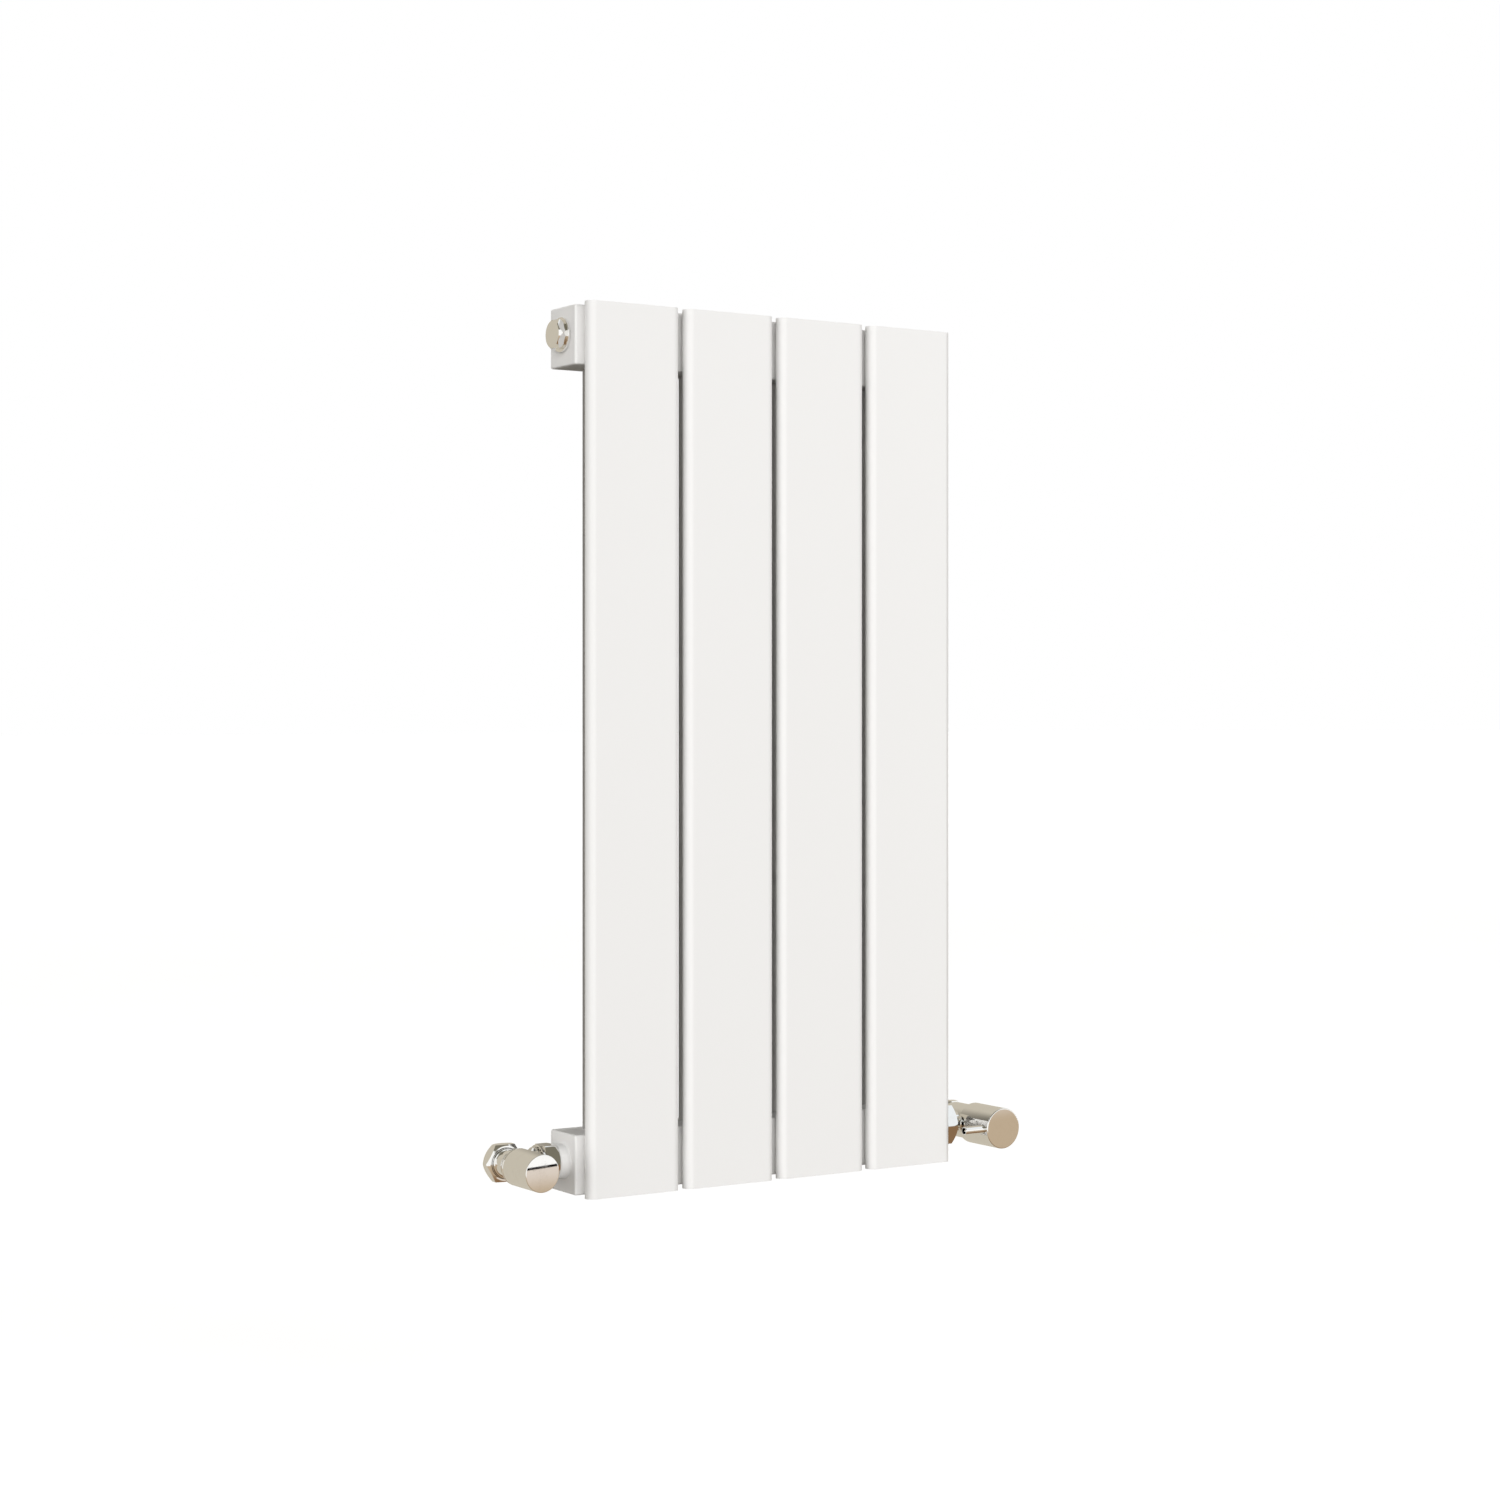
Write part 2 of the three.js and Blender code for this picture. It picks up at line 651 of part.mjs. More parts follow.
function olive(form) {
  const start = form.neckEnd + seatGap * 3 + inletThreadLength;
  const end = start + oliveLength - seatGap;
  return turned([
    [socketRadius, start],
    [socketRadius + oliveRim, start],
    [inletThreadRadius - oliveClearance, (start + end) / 2],
    [socketRadius + oliveRim, end],
    [socketRadius, end],
  ]);
}

const skirtTop = barrelFront - seatGap - headgearShoulder;
const headgearTop = barrelFront - seatGap - headgearHexLength - headgearNeckLength;
const glandMiddle = headgearTop + glandRing.inset + glandRing.tubeRadius;

// Screwed into the front of the barrel: it guides the spindle, and its skirt guides the valve plug.
function headgear() {
  const hexFront = barrelFront - seatGap - headgearHexLength;
  const hex = turned(rod(cornerRadius(headgearHexFlats), hexFront, barrelFront - seatGap), hexSides);
  const neck = turned(rod(headgearNeckRadius, headgearTop, hexFront + cutOver));
  const skirtFront = barrelFront - seatGap - cutOver;
  const skirtRear = barrelFront + headgearSkirt;
  const skirt = turned(rod(chamberRadius - seatGap, skirtFront, skirtRear));
  const stemBore = spindleRadius + slideGap;
  const plugBore = valvePlugRadius + slideGap;
  const bore = turned([
    [0, headgearTop - cutOver],
    [stemBore, headgearTop - cutOver],
    [stemBore, glandMiddle - glandLength / 2],
    [stemBore + glandLength, glandMiddle - glandLength / 2],
    [stemBore + glandLength, glandMiddle + glandLength / 2],
    [stemBore, glandMiddle + glandLength / 2],
    [stemBore, skirtTop],
    [plugBore, skirtTop],
    [plugBore, skirtRear + cutOver],
    [0, skirtRear + cutOver],
  ]);
  return hex.add(neck).add(skirt).subtract(bore);
}

const plugRear = seatFront - tipGap - plugLift - washerThickness - seatGap;
const spindleRear = plugRear - valvePlug.floor;

// The spindle turns without rising: its thread drives the valve plug along the barrel.
function spindle(form) {
  const body = turned(rod(spindleRadius, form.spindleTip, spindleRear), smallSegments);
  const flat = box(
    [2 * spindleFlat.depth, spindleFlat.length, 2 * spindleRadius],
    [spindleRadius, form.spindleTip + spindleFlat.length / 2, 0],
  );
  return body.subtract(flat);
}

function valvePlugSolid() {
  const front = plugRear - valvePlug.length;
  return turned([
    [0, plugRear],
    [valvePlugRadius, plugRear],
    [valvePlugRadius, front],
    [spindleRadius + seatGap, front],
    [spindleRadius + seatGap, spindleRear + seatGap],
    [0, spindleRear + seatGap],
  ], smallSegments);
}

const washer = () =>
  turned(rod(washerRadius, plugRear + seatGap, plugRear + seatGap + washerThickness), smallSegments);

function glandSeal() {
  const middle = spindleRadius + slideGap + glandRing.tubeRadius;
  return turned(ringOutline(middle, glandRing.tubeRadius, glandMiddle), smallSegments);
}

// A smooth cup over the lockshield spindle, pushed on from the room side.
function lockshieldCap() {
  const rear = barrelFront - seatGap;
  return turned([
    [0, cap.front],
    [barrelRadius - cap.faceBevel, cap.front],
    [barrelRadius, cap.front + cap.faceBevel],
    [barrelRadius, rear],
    [barrelRadius - cap.wall, rear],
    [barrelRadius - cap.wall, cap.front + cap.roof],
    [0, cap.front + cap.roof],
  ], fineSegments);
}

function manualHandle() {
  const rear = barrelFront - seatGap;
  const socketEnd = handle.front + handle.socketWall;
  const rearMiddle = handle.rearRadius * handle.rearMiddle;
  const shell = turned([
    [0, handle.front],
    [handleRadius - handle.faceBevel, handle.front],
    [handleRadius, handle.front + handle.faceBevel],
    [handleRadius, rear - handle.rearRadius],
    [handleRadius - rearMiddle, rear - rearMiddle],
    [handleRadius - handle.rearRadius, rear],
    [handleBore, rear],
    [handleBore, handle.front + handle.core],
    [spindleRadius + seatGap, handle.front + handle.core],
    [spindleRadius + seatGap, socketEnd],
    [0, socketEnd],
  ], fineSegments);
  const hole = turnedX(rod(lever.radius + lever.fit, 0, handleRadius + cutOver), smallSegments);
  return shell.subtract(hole.translate([0, handle.front + lever.setback, 0]));
}

// The lever is a rod screwed into the side of the handle until it nips the flat of the spindle. Its free
// end has a socket for the key that drives it.
function handleLever() {
  const rodSolid = turnedX([
    [0, spindleRadius + seatGap],
    [lever.radius, spindleRadius + seatGap],
    [lever.radius, leverTip - lever.edge],
    [lever.radius - lever.edge, leverTip],
    [lever.socket, leverTip],
    [lever.socket, leverTip - lever.socketDepth],
    [0, leverTip - lever.socketDepth],
  ], smallSegments);
  return rodSolid.translate([0, handle.front + lever.setback, 0]);
}

// ---------- assembly ----------
const radiator = new THREE.Group();

panelCentres.forEach((x, i) => {
  const number = i + 1;
  place(radiator, `panel_tube_${number}`, panelTube(x), whitePaint);
  place(radiator, `panel_cap_top_${number}`, panelEndCap(x, 1), whitePaint);
  place(radiator, `panel_cap_bottom_${number}`, panelEndCap(x, -1), whitePaint);
  place(radiator, `convector_channel_${number}`, convectorChannel(x), whitePaint);
});

for (const [level, z] of [['top', headerMiddleZ], ['bottom', -headerMiddleZ]]) {
  const connectionZ = level === 'top' ? topConnection : bottomConnection;
  place(radiator, `header_tube_${level}`, headerTube(z), whitePaint);
  for (const [hand, side] of [['left', -1], ['right', 1]]) {
    const plate = headerEndPlate(side, z, connectionZ, level === 'top');
    place(radiator, `header_end_${level}_${hand}`, plate, whitePaint);
    place(radiator, `hanging_lug_${level}_${hand}`, hangingLug(side * lugSpread, z), whitePaint);
    place(radiator, `wall_bracket_${level}_${hand}`, wallBracket(side * lugSpread, z), zincSteel);
  }
}
place(radiator, 'inlet_boss_left', inletBoss(-1), whitePaint);

const blankingGroup = new THREE.Group();
blankingGroup.position.set(-headerEnd, headerMiddleY, topConnection);
blankingGroup.rotation.z = Math.PI;
place(blankingGroup, 'blanking_plug', plugBody(plugHexLength), chrome);
place(blankingGroup, 'blanking_plug_seal', plugRingSeal(), blackRubber);
radiator.add(blankingGroup);

const bleedGroup = new THREE.Group();
bleedGroup.position.set(headerEnd, headerMiddleY, topConnection);
place(bleedGroup, 'bleed_plug', bleedPlug(), chrome);
place(bleedGroup, 'bleed_plug_seal', plugRingSeal(), blackRubber);
place(bleedGroup, 'bleed_screw', bleedScrew(), brass);
radiator.add(bleedGroup);

function addValve(name, form, x) {
  const group = new THREE.Group();
  group.position.set(x, headerMiddleY, bottomConnection);
  place(group, `${name}_body`, valveBody(form), chrome);
  place(group, `${name}_union_nut`, unionNut(form), chrome);
  place(group, `${name}_tail`, valveTail(), brass);
  place(group, `${name}_compression_nut`, compressionNutSolid(form), chrome);
  place(group, `${name}_olive`, olive(form), brass);
  place(group, `${name}_headgear`, headgear(), brass);
  place(group, `${name}_spindle`, spindle(form), brass);
  place(group, `${name}_valve_plug`, valvePlugSolid(), brass);
  place(group, `${name}_seat_washer`, washer(), blackRubber);
  place(group, `${name}_gland_seal`, glandSeal(), blackRubber);
  radiator.add(group);
  return group;
}

const lockshieldGroup = addValve('lockshield', lockshield, -headerEnd - bossLength - valveReach);
place(lockshieldGroup, 'lockshield_cap', lockshieldCap(), chrome);

const manualGroup = addValve('manual', manual, headerEnd + valveReach);
manualGroup.rotation.y = Math.PI;
place(manualGroup, 'manual_handle', manualHandle(), chrome);
place(manualGroup, 'manual_lever', handleLever(), chrome);

export default radiator;
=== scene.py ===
import json
import math

import bmesh
import bpy
from mathutils import Matrix, Vector


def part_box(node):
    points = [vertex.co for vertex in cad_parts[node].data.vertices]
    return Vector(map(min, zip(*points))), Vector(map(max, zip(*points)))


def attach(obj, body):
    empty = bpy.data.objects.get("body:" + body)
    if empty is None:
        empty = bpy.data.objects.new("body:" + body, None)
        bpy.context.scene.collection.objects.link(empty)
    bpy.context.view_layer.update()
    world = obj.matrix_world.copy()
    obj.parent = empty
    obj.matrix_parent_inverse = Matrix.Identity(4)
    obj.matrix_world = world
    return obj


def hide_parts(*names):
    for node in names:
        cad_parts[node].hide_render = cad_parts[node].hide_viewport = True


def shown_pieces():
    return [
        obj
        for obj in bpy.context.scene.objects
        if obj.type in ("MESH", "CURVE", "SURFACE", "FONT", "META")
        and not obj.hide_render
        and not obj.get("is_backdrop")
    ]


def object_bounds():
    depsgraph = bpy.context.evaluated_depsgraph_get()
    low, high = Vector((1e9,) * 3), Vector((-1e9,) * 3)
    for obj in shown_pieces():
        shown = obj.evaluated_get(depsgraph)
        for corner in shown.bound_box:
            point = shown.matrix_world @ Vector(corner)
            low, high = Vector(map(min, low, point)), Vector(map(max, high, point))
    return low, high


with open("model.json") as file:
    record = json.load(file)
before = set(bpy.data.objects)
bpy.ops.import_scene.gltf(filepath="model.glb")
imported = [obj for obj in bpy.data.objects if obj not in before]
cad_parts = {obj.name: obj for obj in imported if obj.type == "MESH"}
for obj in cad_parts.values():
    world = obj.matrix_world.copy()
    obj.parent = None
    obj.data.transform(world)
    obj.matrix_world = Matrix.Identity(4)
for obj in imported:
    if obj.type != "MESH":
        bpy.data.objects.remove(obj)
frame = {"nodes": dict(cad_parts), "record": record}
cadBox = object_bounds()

mm = 0.001
scene = bpy.context.scene
print("frame loaded:", len(frame["nodes"]), "nodes")

# what a user would change about the view and the light
studio = {
    "cameraPlace": (-1.06335, -1.6948, 0.0233),
    "cameraTurn": 32.69,          # degrees to the right of the wall's normal
    "lens": 66.94,
    "shiftY": -0.0234,
    "floorBelow": 0.15,           # metres from the radiator's bottom down to the floor
    "backdrop": (1.0, 1.0, 1.0),
    "floorTone": (0.93, 0.93, 0.93),
    "floorGlow": 0.95,
    "softLight": (1.19, 1.185, 1.18),
    "softLightBelow": (1.08, 1.065, 1.045),
    "roomLight": (1.07, 1.07, 1.06),
    "ceilingLight": (0.93, 0.97, 1.0),
    "skirtingLine": (0.004, 0.003, 0.003),
    "floorSlopeX": 0.0545,        # how the mirrored floor's far edge runs round the room
    "floorSlopeY": 0.2134,
    "floorFar": (0.78, 0.69, 0.61),
    "floorMiddle": (0.56, 0.44, 0.31),
    "ceilingCorner": (0.20, 0.185, 0.14),
    "floorNear": (0.26, 0.155, 0.08),
    "wallMirrored": (0.60, 0.55, 0.455),
    "wallLit": (0.10, 0.095, 0.085),
    "keyPower": 22.0,
    "sidePower": 1.7,
    "farSidePower": 1.7,
    "backPower": 1.3,
    "backSoftPower": 0.25,
}


# ---- nodes written as maths

class Wire:
    # one output socket; sums and products of wires add Math nodes to its tree

    def __init__(self, graph, socket):
        self.graph = graph
        self.socket = socket

    def maths(self, operation, *others):
        settings = {"operation": operation}
        return self.graph.node("ShaderNodeMath", settings, dict(enumerate(others)))

    def __add__(self, other):
        return self.maths("ADD", self, other)

    def __radd__(self, other):
        return self.maths("ADD", other, self)

    def __sub__(self, other):
        return self.maths("SUBTRACT", self, other)

    def __rsub__(self, other):
        return self.maths("SUBTRACT", other, self)

    def __mul__(self, other):
        return self.maths("MULTIPLY", self, other)

    def __rmul__(self, other):
        return self.maths("MULTIPLY", other, self)

    def __truediv__(self, other):
        return self.maths("DIVIDE", self, other)

    def __gt__(self, other):
        return self.maths("GREATER_THAN", self, other)

    def __lt__(self, other):
        return self.maths("LESS_THAN", self, other)

    def __abs__(self):
        return self.maths("ABSOLUTE", self)


class Graph:
    # a node tree that is filled by one call a node

    def __init__(self, tree):
        self.tree = tree
        self.tree.nodes.clear()

    def node(self, kind, settings=None, values=None, output=0):
        made = self.tree.nodes.new(kind)
        for key, value in (settings or {}).items():
            if key == "stops":
                self.setStops(made.color_ramp, value)
            else:
                setattr(made, key, value)
        for key, value in (values or {}).items():
            socket = self.find(made.inputs, key)
            if isinstance(value, Wire):
                self.tree.links.new(value.socket, socket)
            else:
                socket.default_value = value
        self.last = made
        if not made.outputs:
            return None
        return Wire(self, self.find(made.outputs, output))

    def find(self, sockets, key):
        if isinstance(key, int):
            return sockets[key]
        for socket in sockets:
            if socket.identifier == key:
                return socket
        return next(socket for socket in sockets if socket.name == key and socket.enabled)

    def other(self, output):
        return Wire(self, self.find(self.last.outputs, output))

    def setStops(self, ramp, stops):
        while len(ramp.elements) < len(stops):
            ramp.elements.new(0.5)
        for element, (place, colour) in zip(ramp.elements, stops):
            element.position = place
            element.color = (*colour, 1.0)

    def noise(self, where, scale, detail=2.0, roughness=0.5):
        values = {"Vector": where, "Scale": scale, "Detail": detail, "Roughness": roughness}
        return self.node("ShaderNodeTexNoise", None, values)

    def blend(self, share, first, second):
        values = {"Factor_Float": share, "A_Color": first, "B_Color": second}
        return self.node("ShaderNodeMix", {"data_type": "RGBA"}, values, "Result_Color")

    def remap(self, value, low, high, toLow=0.0, toHigh=1.0, curve="SMOOTHSTEP"):
        values = {"Value": value, "From Min": low, "From Max": high, "To Min": toLow, "To Max": toHigh}
        return self.node("ShaderNodeMapRange", {"interpolation_type": curve}, values)

    def bump(self, height, strength, distance):
        values = {"Height": height, "Strength": strength, "Distance": distance}
        return self.node("ShaderNodeBump", None, values, "Normal")

    def finish(self, **sockets):
        surface = self.node("ShaderNodeBsdfPrincipled", None, {
            key.replace("_", " "): value for key, value in sockets.items()})
        self.node("ShaderNodeOutputMaterial", None, {"Surface": surface})


def newMaterial(name):
    material = bpy.data.materials.new(name)
    material.use_nodes = True
    return material, Graph(material.node_tree)


def rgba(colour):
    return (*colour, 1.0)


# ---- finishes

paint = {
    "white": (0.885, 0.881, 0.872),
    "creamier": (0.876, 0.870, 0.858),
    "roughness": 0.40,
    "peelSize": 620,              # orange peel cells in a metre
    "peelDepth": 0.00002,
}


def makePaint():
    material, graph = newMaterial("stovedPowderPaint")
    where = graph.node("ShaderNodeTexCoord", output="Object")
    drift = graph.noise(where, 5.5, 3.0)
    patches = graph.noise(where, 34.0, 4.0, 0.6)
    peel = graph.noise(where, paint["peelSize"], 2.0, 0.45)
    dust = graph.noise(where, 3100.0, 1.0)
    colour = graph.blend(drift * 0.6 + patches * 0.4, rgba(paint["white"]), rgba(paint["creamier"]))
    graph.finish(
        Base_Color=colour,
        Roughness=paint["roughness"] - 0.05 + patches * 0.07 + dust * 0.03,
        Normal=graph.bump(peel + dust * 0.12, 0.35, paint["peelDepth"]),
    )
    return material


plating = {
    "bright": (0.905, 0.90, 0.885),
    "dull": (0.875, 0.865, 0.845),
    "roughness": 0.006,
}


def makeChrome():
    material, graph = newMaterial("polishedChrome")
    where = graph.node("ShaderNodeTexCoord", output="Object")
    wipe = graph.noise(where, 90.0, 3.0, 0.6)
    haze = graph.noise(where, 420.0, 4.0, 0.62)
    film = graph.remap(wipe * 0.5 + haze * 0.5, 0.46, 0.72)
    colour = graph.blend(film, rgba(plating["bright"]), rgba(plating["dull"]))
    graph.finish(
        Base_Color=colour,
        Metallic=1.0,
        Roughness=plating["roughness"] + film * 0.012,
    )
    return material


brassLook = {
    "clean": (0.80, 0.60, 0.30),
    "tarnished": (0.52, 0.36, 0.17),
    "roughness": 0.26,
    "toolMarks": 2300,            # turning marks in a metre
}


def makeBrass():
    material, graph = newMaterial("machinedBrass")
    where = graph.node("ShaderNodeTexCoord", output="Object")
    stain = graph.remap(graph.noise(where, 210.0, 4.0, 0.6), 0.48, 0.75)
    along = graph.node("ShaderNodeSeparateXYZ", None, {"Vector": where}, "Y")
    marks = graph.node("ShaderNodeMath", {"operation": "SINE"}, {0: along * (brassLook["toolMarks"] * 2 * math.pi)})
    rough = graph.noise(where, 1500.0, 3.0)
    graph.finish(
        Base_Color=graph.blend(stain, rgba(brassLook["clean"]), rgba(brassLook["tarnished"])),
        Metallic=1.0,
        Roughness=brassLook["roughness"] + stain * 0.14 + rough * 0.06,
        Normal=graph.bump(marks * 0.4 + rough, 0.25, 0.00001),
    )
    return material


zincLook = {
    "light": (0.66, 0.68, 0.70),
    "dark": (0.47, 0.49, 0.52),
    "grains": 260,                # spangles in a metre
}


def makeZinc():
    material, graph = newMaterial("zincPlatedSteel")
    where = graph.node("ShaderNodeTexCoord", output="Object")
    values = {"Vector": where, "Scale": zincLook["grains"], "Randomness": 1.0}
    cells = graph.node("ShaderNodeTexVoronoi", {"feature": "F1"}, values, "Color")
    shade = graph.node("ShaderNodeSeparateColor", None, {"Color": cells}, "Red")
    cloud = graph.noise(where, 60.0, 4.0, 0.6)
    brushed = graph.noise(where, 1900.0, 2.0)
    graph.finish(
        Base_Color=graph.blend(shade * 0.35 + cloud * 0.5, rgba(zincLook["light"]), rgba(zincLook["dark"])),
        Metallic=0.92,
        Roughness=0.34 + shade * 0.10 + brushed * 0.05,
        Normal=graph.bump(brushed + shade * 0.5, 0.2, 0.00002),
    )
    return material


rubberLook = {"black": (0.018, 0.018, 0.019), "bloom": (0.060, 0.058, 0.056)}


def makeRubber():
    material, graph = newMaterial("blackRubber")
    where = graph.node("ShaderNodeTexCoord", output="Object")
    bloom = graph.remap(graph.noise(where, 160.0, 4.0, 0.6), 0.45, 0.8)
    pores = graph.noise(where, 2600.0, 2.0)
    graph.finish(
        Base_Color=graph.blend(bloom, rgba(rubberLook["black"]), rgba(rubberLook["bloom"])),
        Roughness=0.62 + bloom * 0.18 + pores * 0.08,
        Normal=graph.bump(pores, 0.4, 0.00003),
    )
    return material


finishes = {
    "white_paint": makePaint(),
    "chrome": makeChrome(),
    "brass": makeBrass(),
    "zinc_steel": makeZinc(),
    "black_rubber": makeRubber(),
}
print("finishes made:", ", ".join(finishes))


# ---- places read from the frame

def span(*nodes):
    corners = [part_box(node) for node in nodes]
    low = Vector(min(pair[0][i] for pair in corners) for i in range(3))
    high = Vector(max(pair[1][i] for pair in corners) for i in range(3))
    return low, high


def middle(*nodes):
    low, high = span(*nodes)
    return (low + high) / 2


# ---- mesh helpers: shapes are drawn in millimetres and placed in metres

def link(mesh, name):
    obj = bpy.data.objects.new(name, mesh)
    scene.collection.objects.link(obj)
    return obj


def meshFrom(name, points, faces):
    mesh = bpy.data.meshes.new(name)
    mesh.from_pydata(points, [], faces)
    shape = bmesh.new()
    shape.from_mesh(mesh)
    bmesh.ops.remove_doubles(shape, verts=shape.verts, dist=1e-7)
    bmesh.ops.recalc_face_normals(shape, faces=shape.faces)
    shape.to_mesh(mesh)
    shape.free()
    return link(mesh, name)


def bake(obj):
    # the evaluated shape becomes a plain mesh, and the modifiers go
    bpy.context.view_layer.update()
    solid = obj.evaluated_get(bpy.context.evaluated_depsgraph_get())
    mesh = bpy.data.meshes.new_from_object(solid)
    obj.modifiers.clear()
    obj.data = mesh
    mesh.name = obj.name
    return obj


def combine(obj, tools, operation):
    for tool in tools:
        step = obj.modifiers.new("combine", "BOOLEAN")
        step.object = tool
        step.operation = operation
        step.solver = "EXACT"
    bake(obj)
    for tool in tools:
        bpy.data.objects.remove(tool)
    return obj


def soften(obj, width, steps=2, angle=35):
    bevel = obj.modifiers.new("soften", "BEVEL")
    bevel.width = width * mm
    bevel.segments = steps
    bevel.limit_method = "ANGLE"
    bevel.angle_limit = math.radians(angle)
    bevel.use_clamp_overlap = True
    return bake(obj)


def settle(obj, body, slotName, nodes, smooth=32):
    obj.data.materials.clear()
    obj.data.materials.append(finishes[slotName])
    obj.data.shade_smooth()
    obj.data.set_sharp_from_angle(angle=math.radians(smooth))
    flatten = obj.modifiers.new("flatFacesStayFlat", "WEIGHTED_NORMAL")
    flatten.keep_sharp = True
    flatten.weight = 100
    bake(obj)
    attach(obj, body)
    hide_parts(*nodes)
    return obj


class Turning:
    # a lathe: along is its axis, and up is where the angle starts

    def __init__(self, centre, along, up):
        self.centre = Vector(centre)
        self.along = Vector(along)
        self.up = Vector(up)
        self.side = self.along.cross(self.up)

    def point(self, angle, radius, along):
        out = self.up * (math.cos(angle) * radius) + self.side * (math.sin(angle) * radius)
        return self.centre + (out + self.along * along) * mm


def evenTurn(steps=112):
    return [2 * math.pi * i / steps for i in range(steps)]


def hexTurn(start=0.0, flatSteps=14, cornerSteps=4, cornerAngle=0.07):
    # angles that crowd at the six corners, where start is a corner
    angles = []
    for corner in range(6):
        turn = start + corner * math.pi / 3
        for i in range(cornerSteps):
            angles.append(turn - cornerAngle + 2 * cornerAngle * i / cornerSteps)
        for i in range(flatSteps):
            share = i / flatSteps
            angles.append(turn + cornerAngle + (math.pi / 3 - 2 * cornerAngle) * share)
    return angles


def hexRadius(flats, start=0.0, rounding=0.4):
    # the outline of a hexagon with rounded corners, as a radius for each angle
    corner = flats / 2 / math.cos(math.pi / 6)
    hub = corner - rounding / math.cos(math.pi / 6)

    def radius(angle):
        turn = (angle - start) % (math.pi / 3)
        fromCorner = min(turn, math.pi / 3 - turn)
        flat = flats / 2 / math.cos(math.pi / 6 - fromCorner)
        across = hub * math.sin(fromCorner)
        if across >= rounding:
            return flat
        return min(flat, hub * math.cos(fromCorner) + math.sqrt(rounding ** 2 - across ** 2))

    return radius


def roundCorners(outline, closed, steps=4):
    # a point with a third number has its corner rounded to that radius
    made = []
    for i, point in enumerate(outline):
        fillet = point[2] if len(point) > 2 else 0
        atEnd = not closed and i in (0, len(outline) - 1)
        if not fillet or atEnd:
            made.append(point[:2])
            continue
        here = Vector(point[:2])
        before = (Vector(outline[i - 1][:2]) - here).normalized()
        after = (Vector(outline[(i + 1) % len(outline)][:2]) - here).normalized()
        half = before.angle(after) / 2
        reach = fillet / math.tan(half)
        hub = here + (before + after).normalized() * (fillet / math.sin(half))
        first = here + before * reach - hub
        last = here + after * reach - hub
        sweep = first.angle(last)
        for step in range(steps + 1):
            share = step / steps
            arc = first * math.sin((1 - share) * sweep) + last * math.sin(share * sweep)
            made.append(tuple(hub + arc / math.sin(sweep)))
    return made


def valueAt(value, angle):
    return value(angle) if callable(value) else value


def turn(name, lathe, outline, angles=None, closed=False):
    # outline points are (radius, along), and either may be a function of the angle
    angles = angles or evenTurn()
    count = len(angles)
    points = []
    rings = []
    for radius, along in outline:
        if radius == 0:
            rings.append([len(points)] * count)
            points.append(lathe.point(0, 0, along))
            continue
        rings.append([len(points) + i for i in range(count)])
        for angle in angles:
            points.append(lathe.point(angle, valueAt(radius, angle), valueAt(along, angle)))
    faces = []
    pairs = list(zip(rings, rings[1:]))
    if closed:
        pairs.append((rings[-1], rings[0]))
    for first, second in pairs:
        for i in range(count):
            j = (i + 1) % count
            corners = [first[i], first[j], second[j], second[i]]
            kept = [c for k, c in enumerate(corners) if c != corners[k - 1]]
            if len(kept) > 2:
                faces.append(kept)
    return meshFrom(name, points, faces)


def rod(name, lathe, radius, start, end, angles=None):
    return turn(name, lathe, [(0, start), (radius, start), (radius, end), (0, end)], angles)


def block(name, low, high, rounding=0.0, steps=4):
    # a box between two corners in metres, with all its edges rounded
    shape = bmesh.new()
    size = Vector(high) - Vector(low)
    place = Matrix.Translation((Vector(low) + Vector(high)) / 2) @ Matrix.Diagonal((*size, 1))
    bmesh.ops.create_cube(shape, size=1.0, matrix=place)
    if rounding:
        bmesh.ops.bevel(shape, geom=shape.edges[:], offset=rounding * mm, segments=steps,
                        profile=0.5, affect="EDGES")
    mesh = bpy.data.meshes.new(name)
    shape.to_mesh(mesh)
    shape.free()
    return link(mesh, name)


# ---- shapes that follow a rule, as Geometry Nodes

def newTree(name, sizes):
    tree = bpy.data.node_groups.new(name, "GeometryNodeTree")
    tree.interface.new_socket("Geometry", in_out="INPUT", socket_type="NodeSocketGeometry")
    kinds = {float: "NodeSocketFloat", int: "NodeSocketInt"}
    for label, value in sizes.items():
        tree.interface.new_socket(label, in_out="INPUT", socket_type=kinds[type(value)])
    tree.interface.new_socket("Finish", in_out="INPUT", socket_type="NodeSocketMaterial")
    tree.interface.new_socket("Geometry", in_out="OUTPUT", socket_type="NodeSocketGeometry")
    graph = Graph(tree)
    graph.node("NodeGroupInput")
    inputs = {label: graph.other(label) for label in [*sizes, "Finish"]}
    return tree, graph, inputs


def vector(graph, x=0.0, y=0.0, z=0.0):
    return graph.node("ShaderNodeCombineXYZ", None, {"X": x, "Y": y, "Z": z})


def closedExtrusion(graph, outline, depth):
    # fills a flat outline, draws it along Z and closes both ends
    face = graph.node("GeometryNodeFillCurve", {"mode": "NGONS"}, {"Curve": outline})
    values = {"Mesh": face, "Offset": vector(graph, z=1.0), "Offset Scale": depth, "Individual": False}
    drawn = graph.node("GeometryNodeExtrudeMesh", {"mode": "FACES"}, values)
    under = graph.node("GeometryNodeFlipFaces", None, {"Mesh": face})
    join = graph.node("GeometryNodeJoinGeometry", None, {"Geometry": drawn})
    graph.tree.links.new(under.socket, graph.last.inputs["Geometry"])
    return graph.node("GeometryNodeMergeByDistance", None, {"Geometry": join, "Distance": 1e-6})


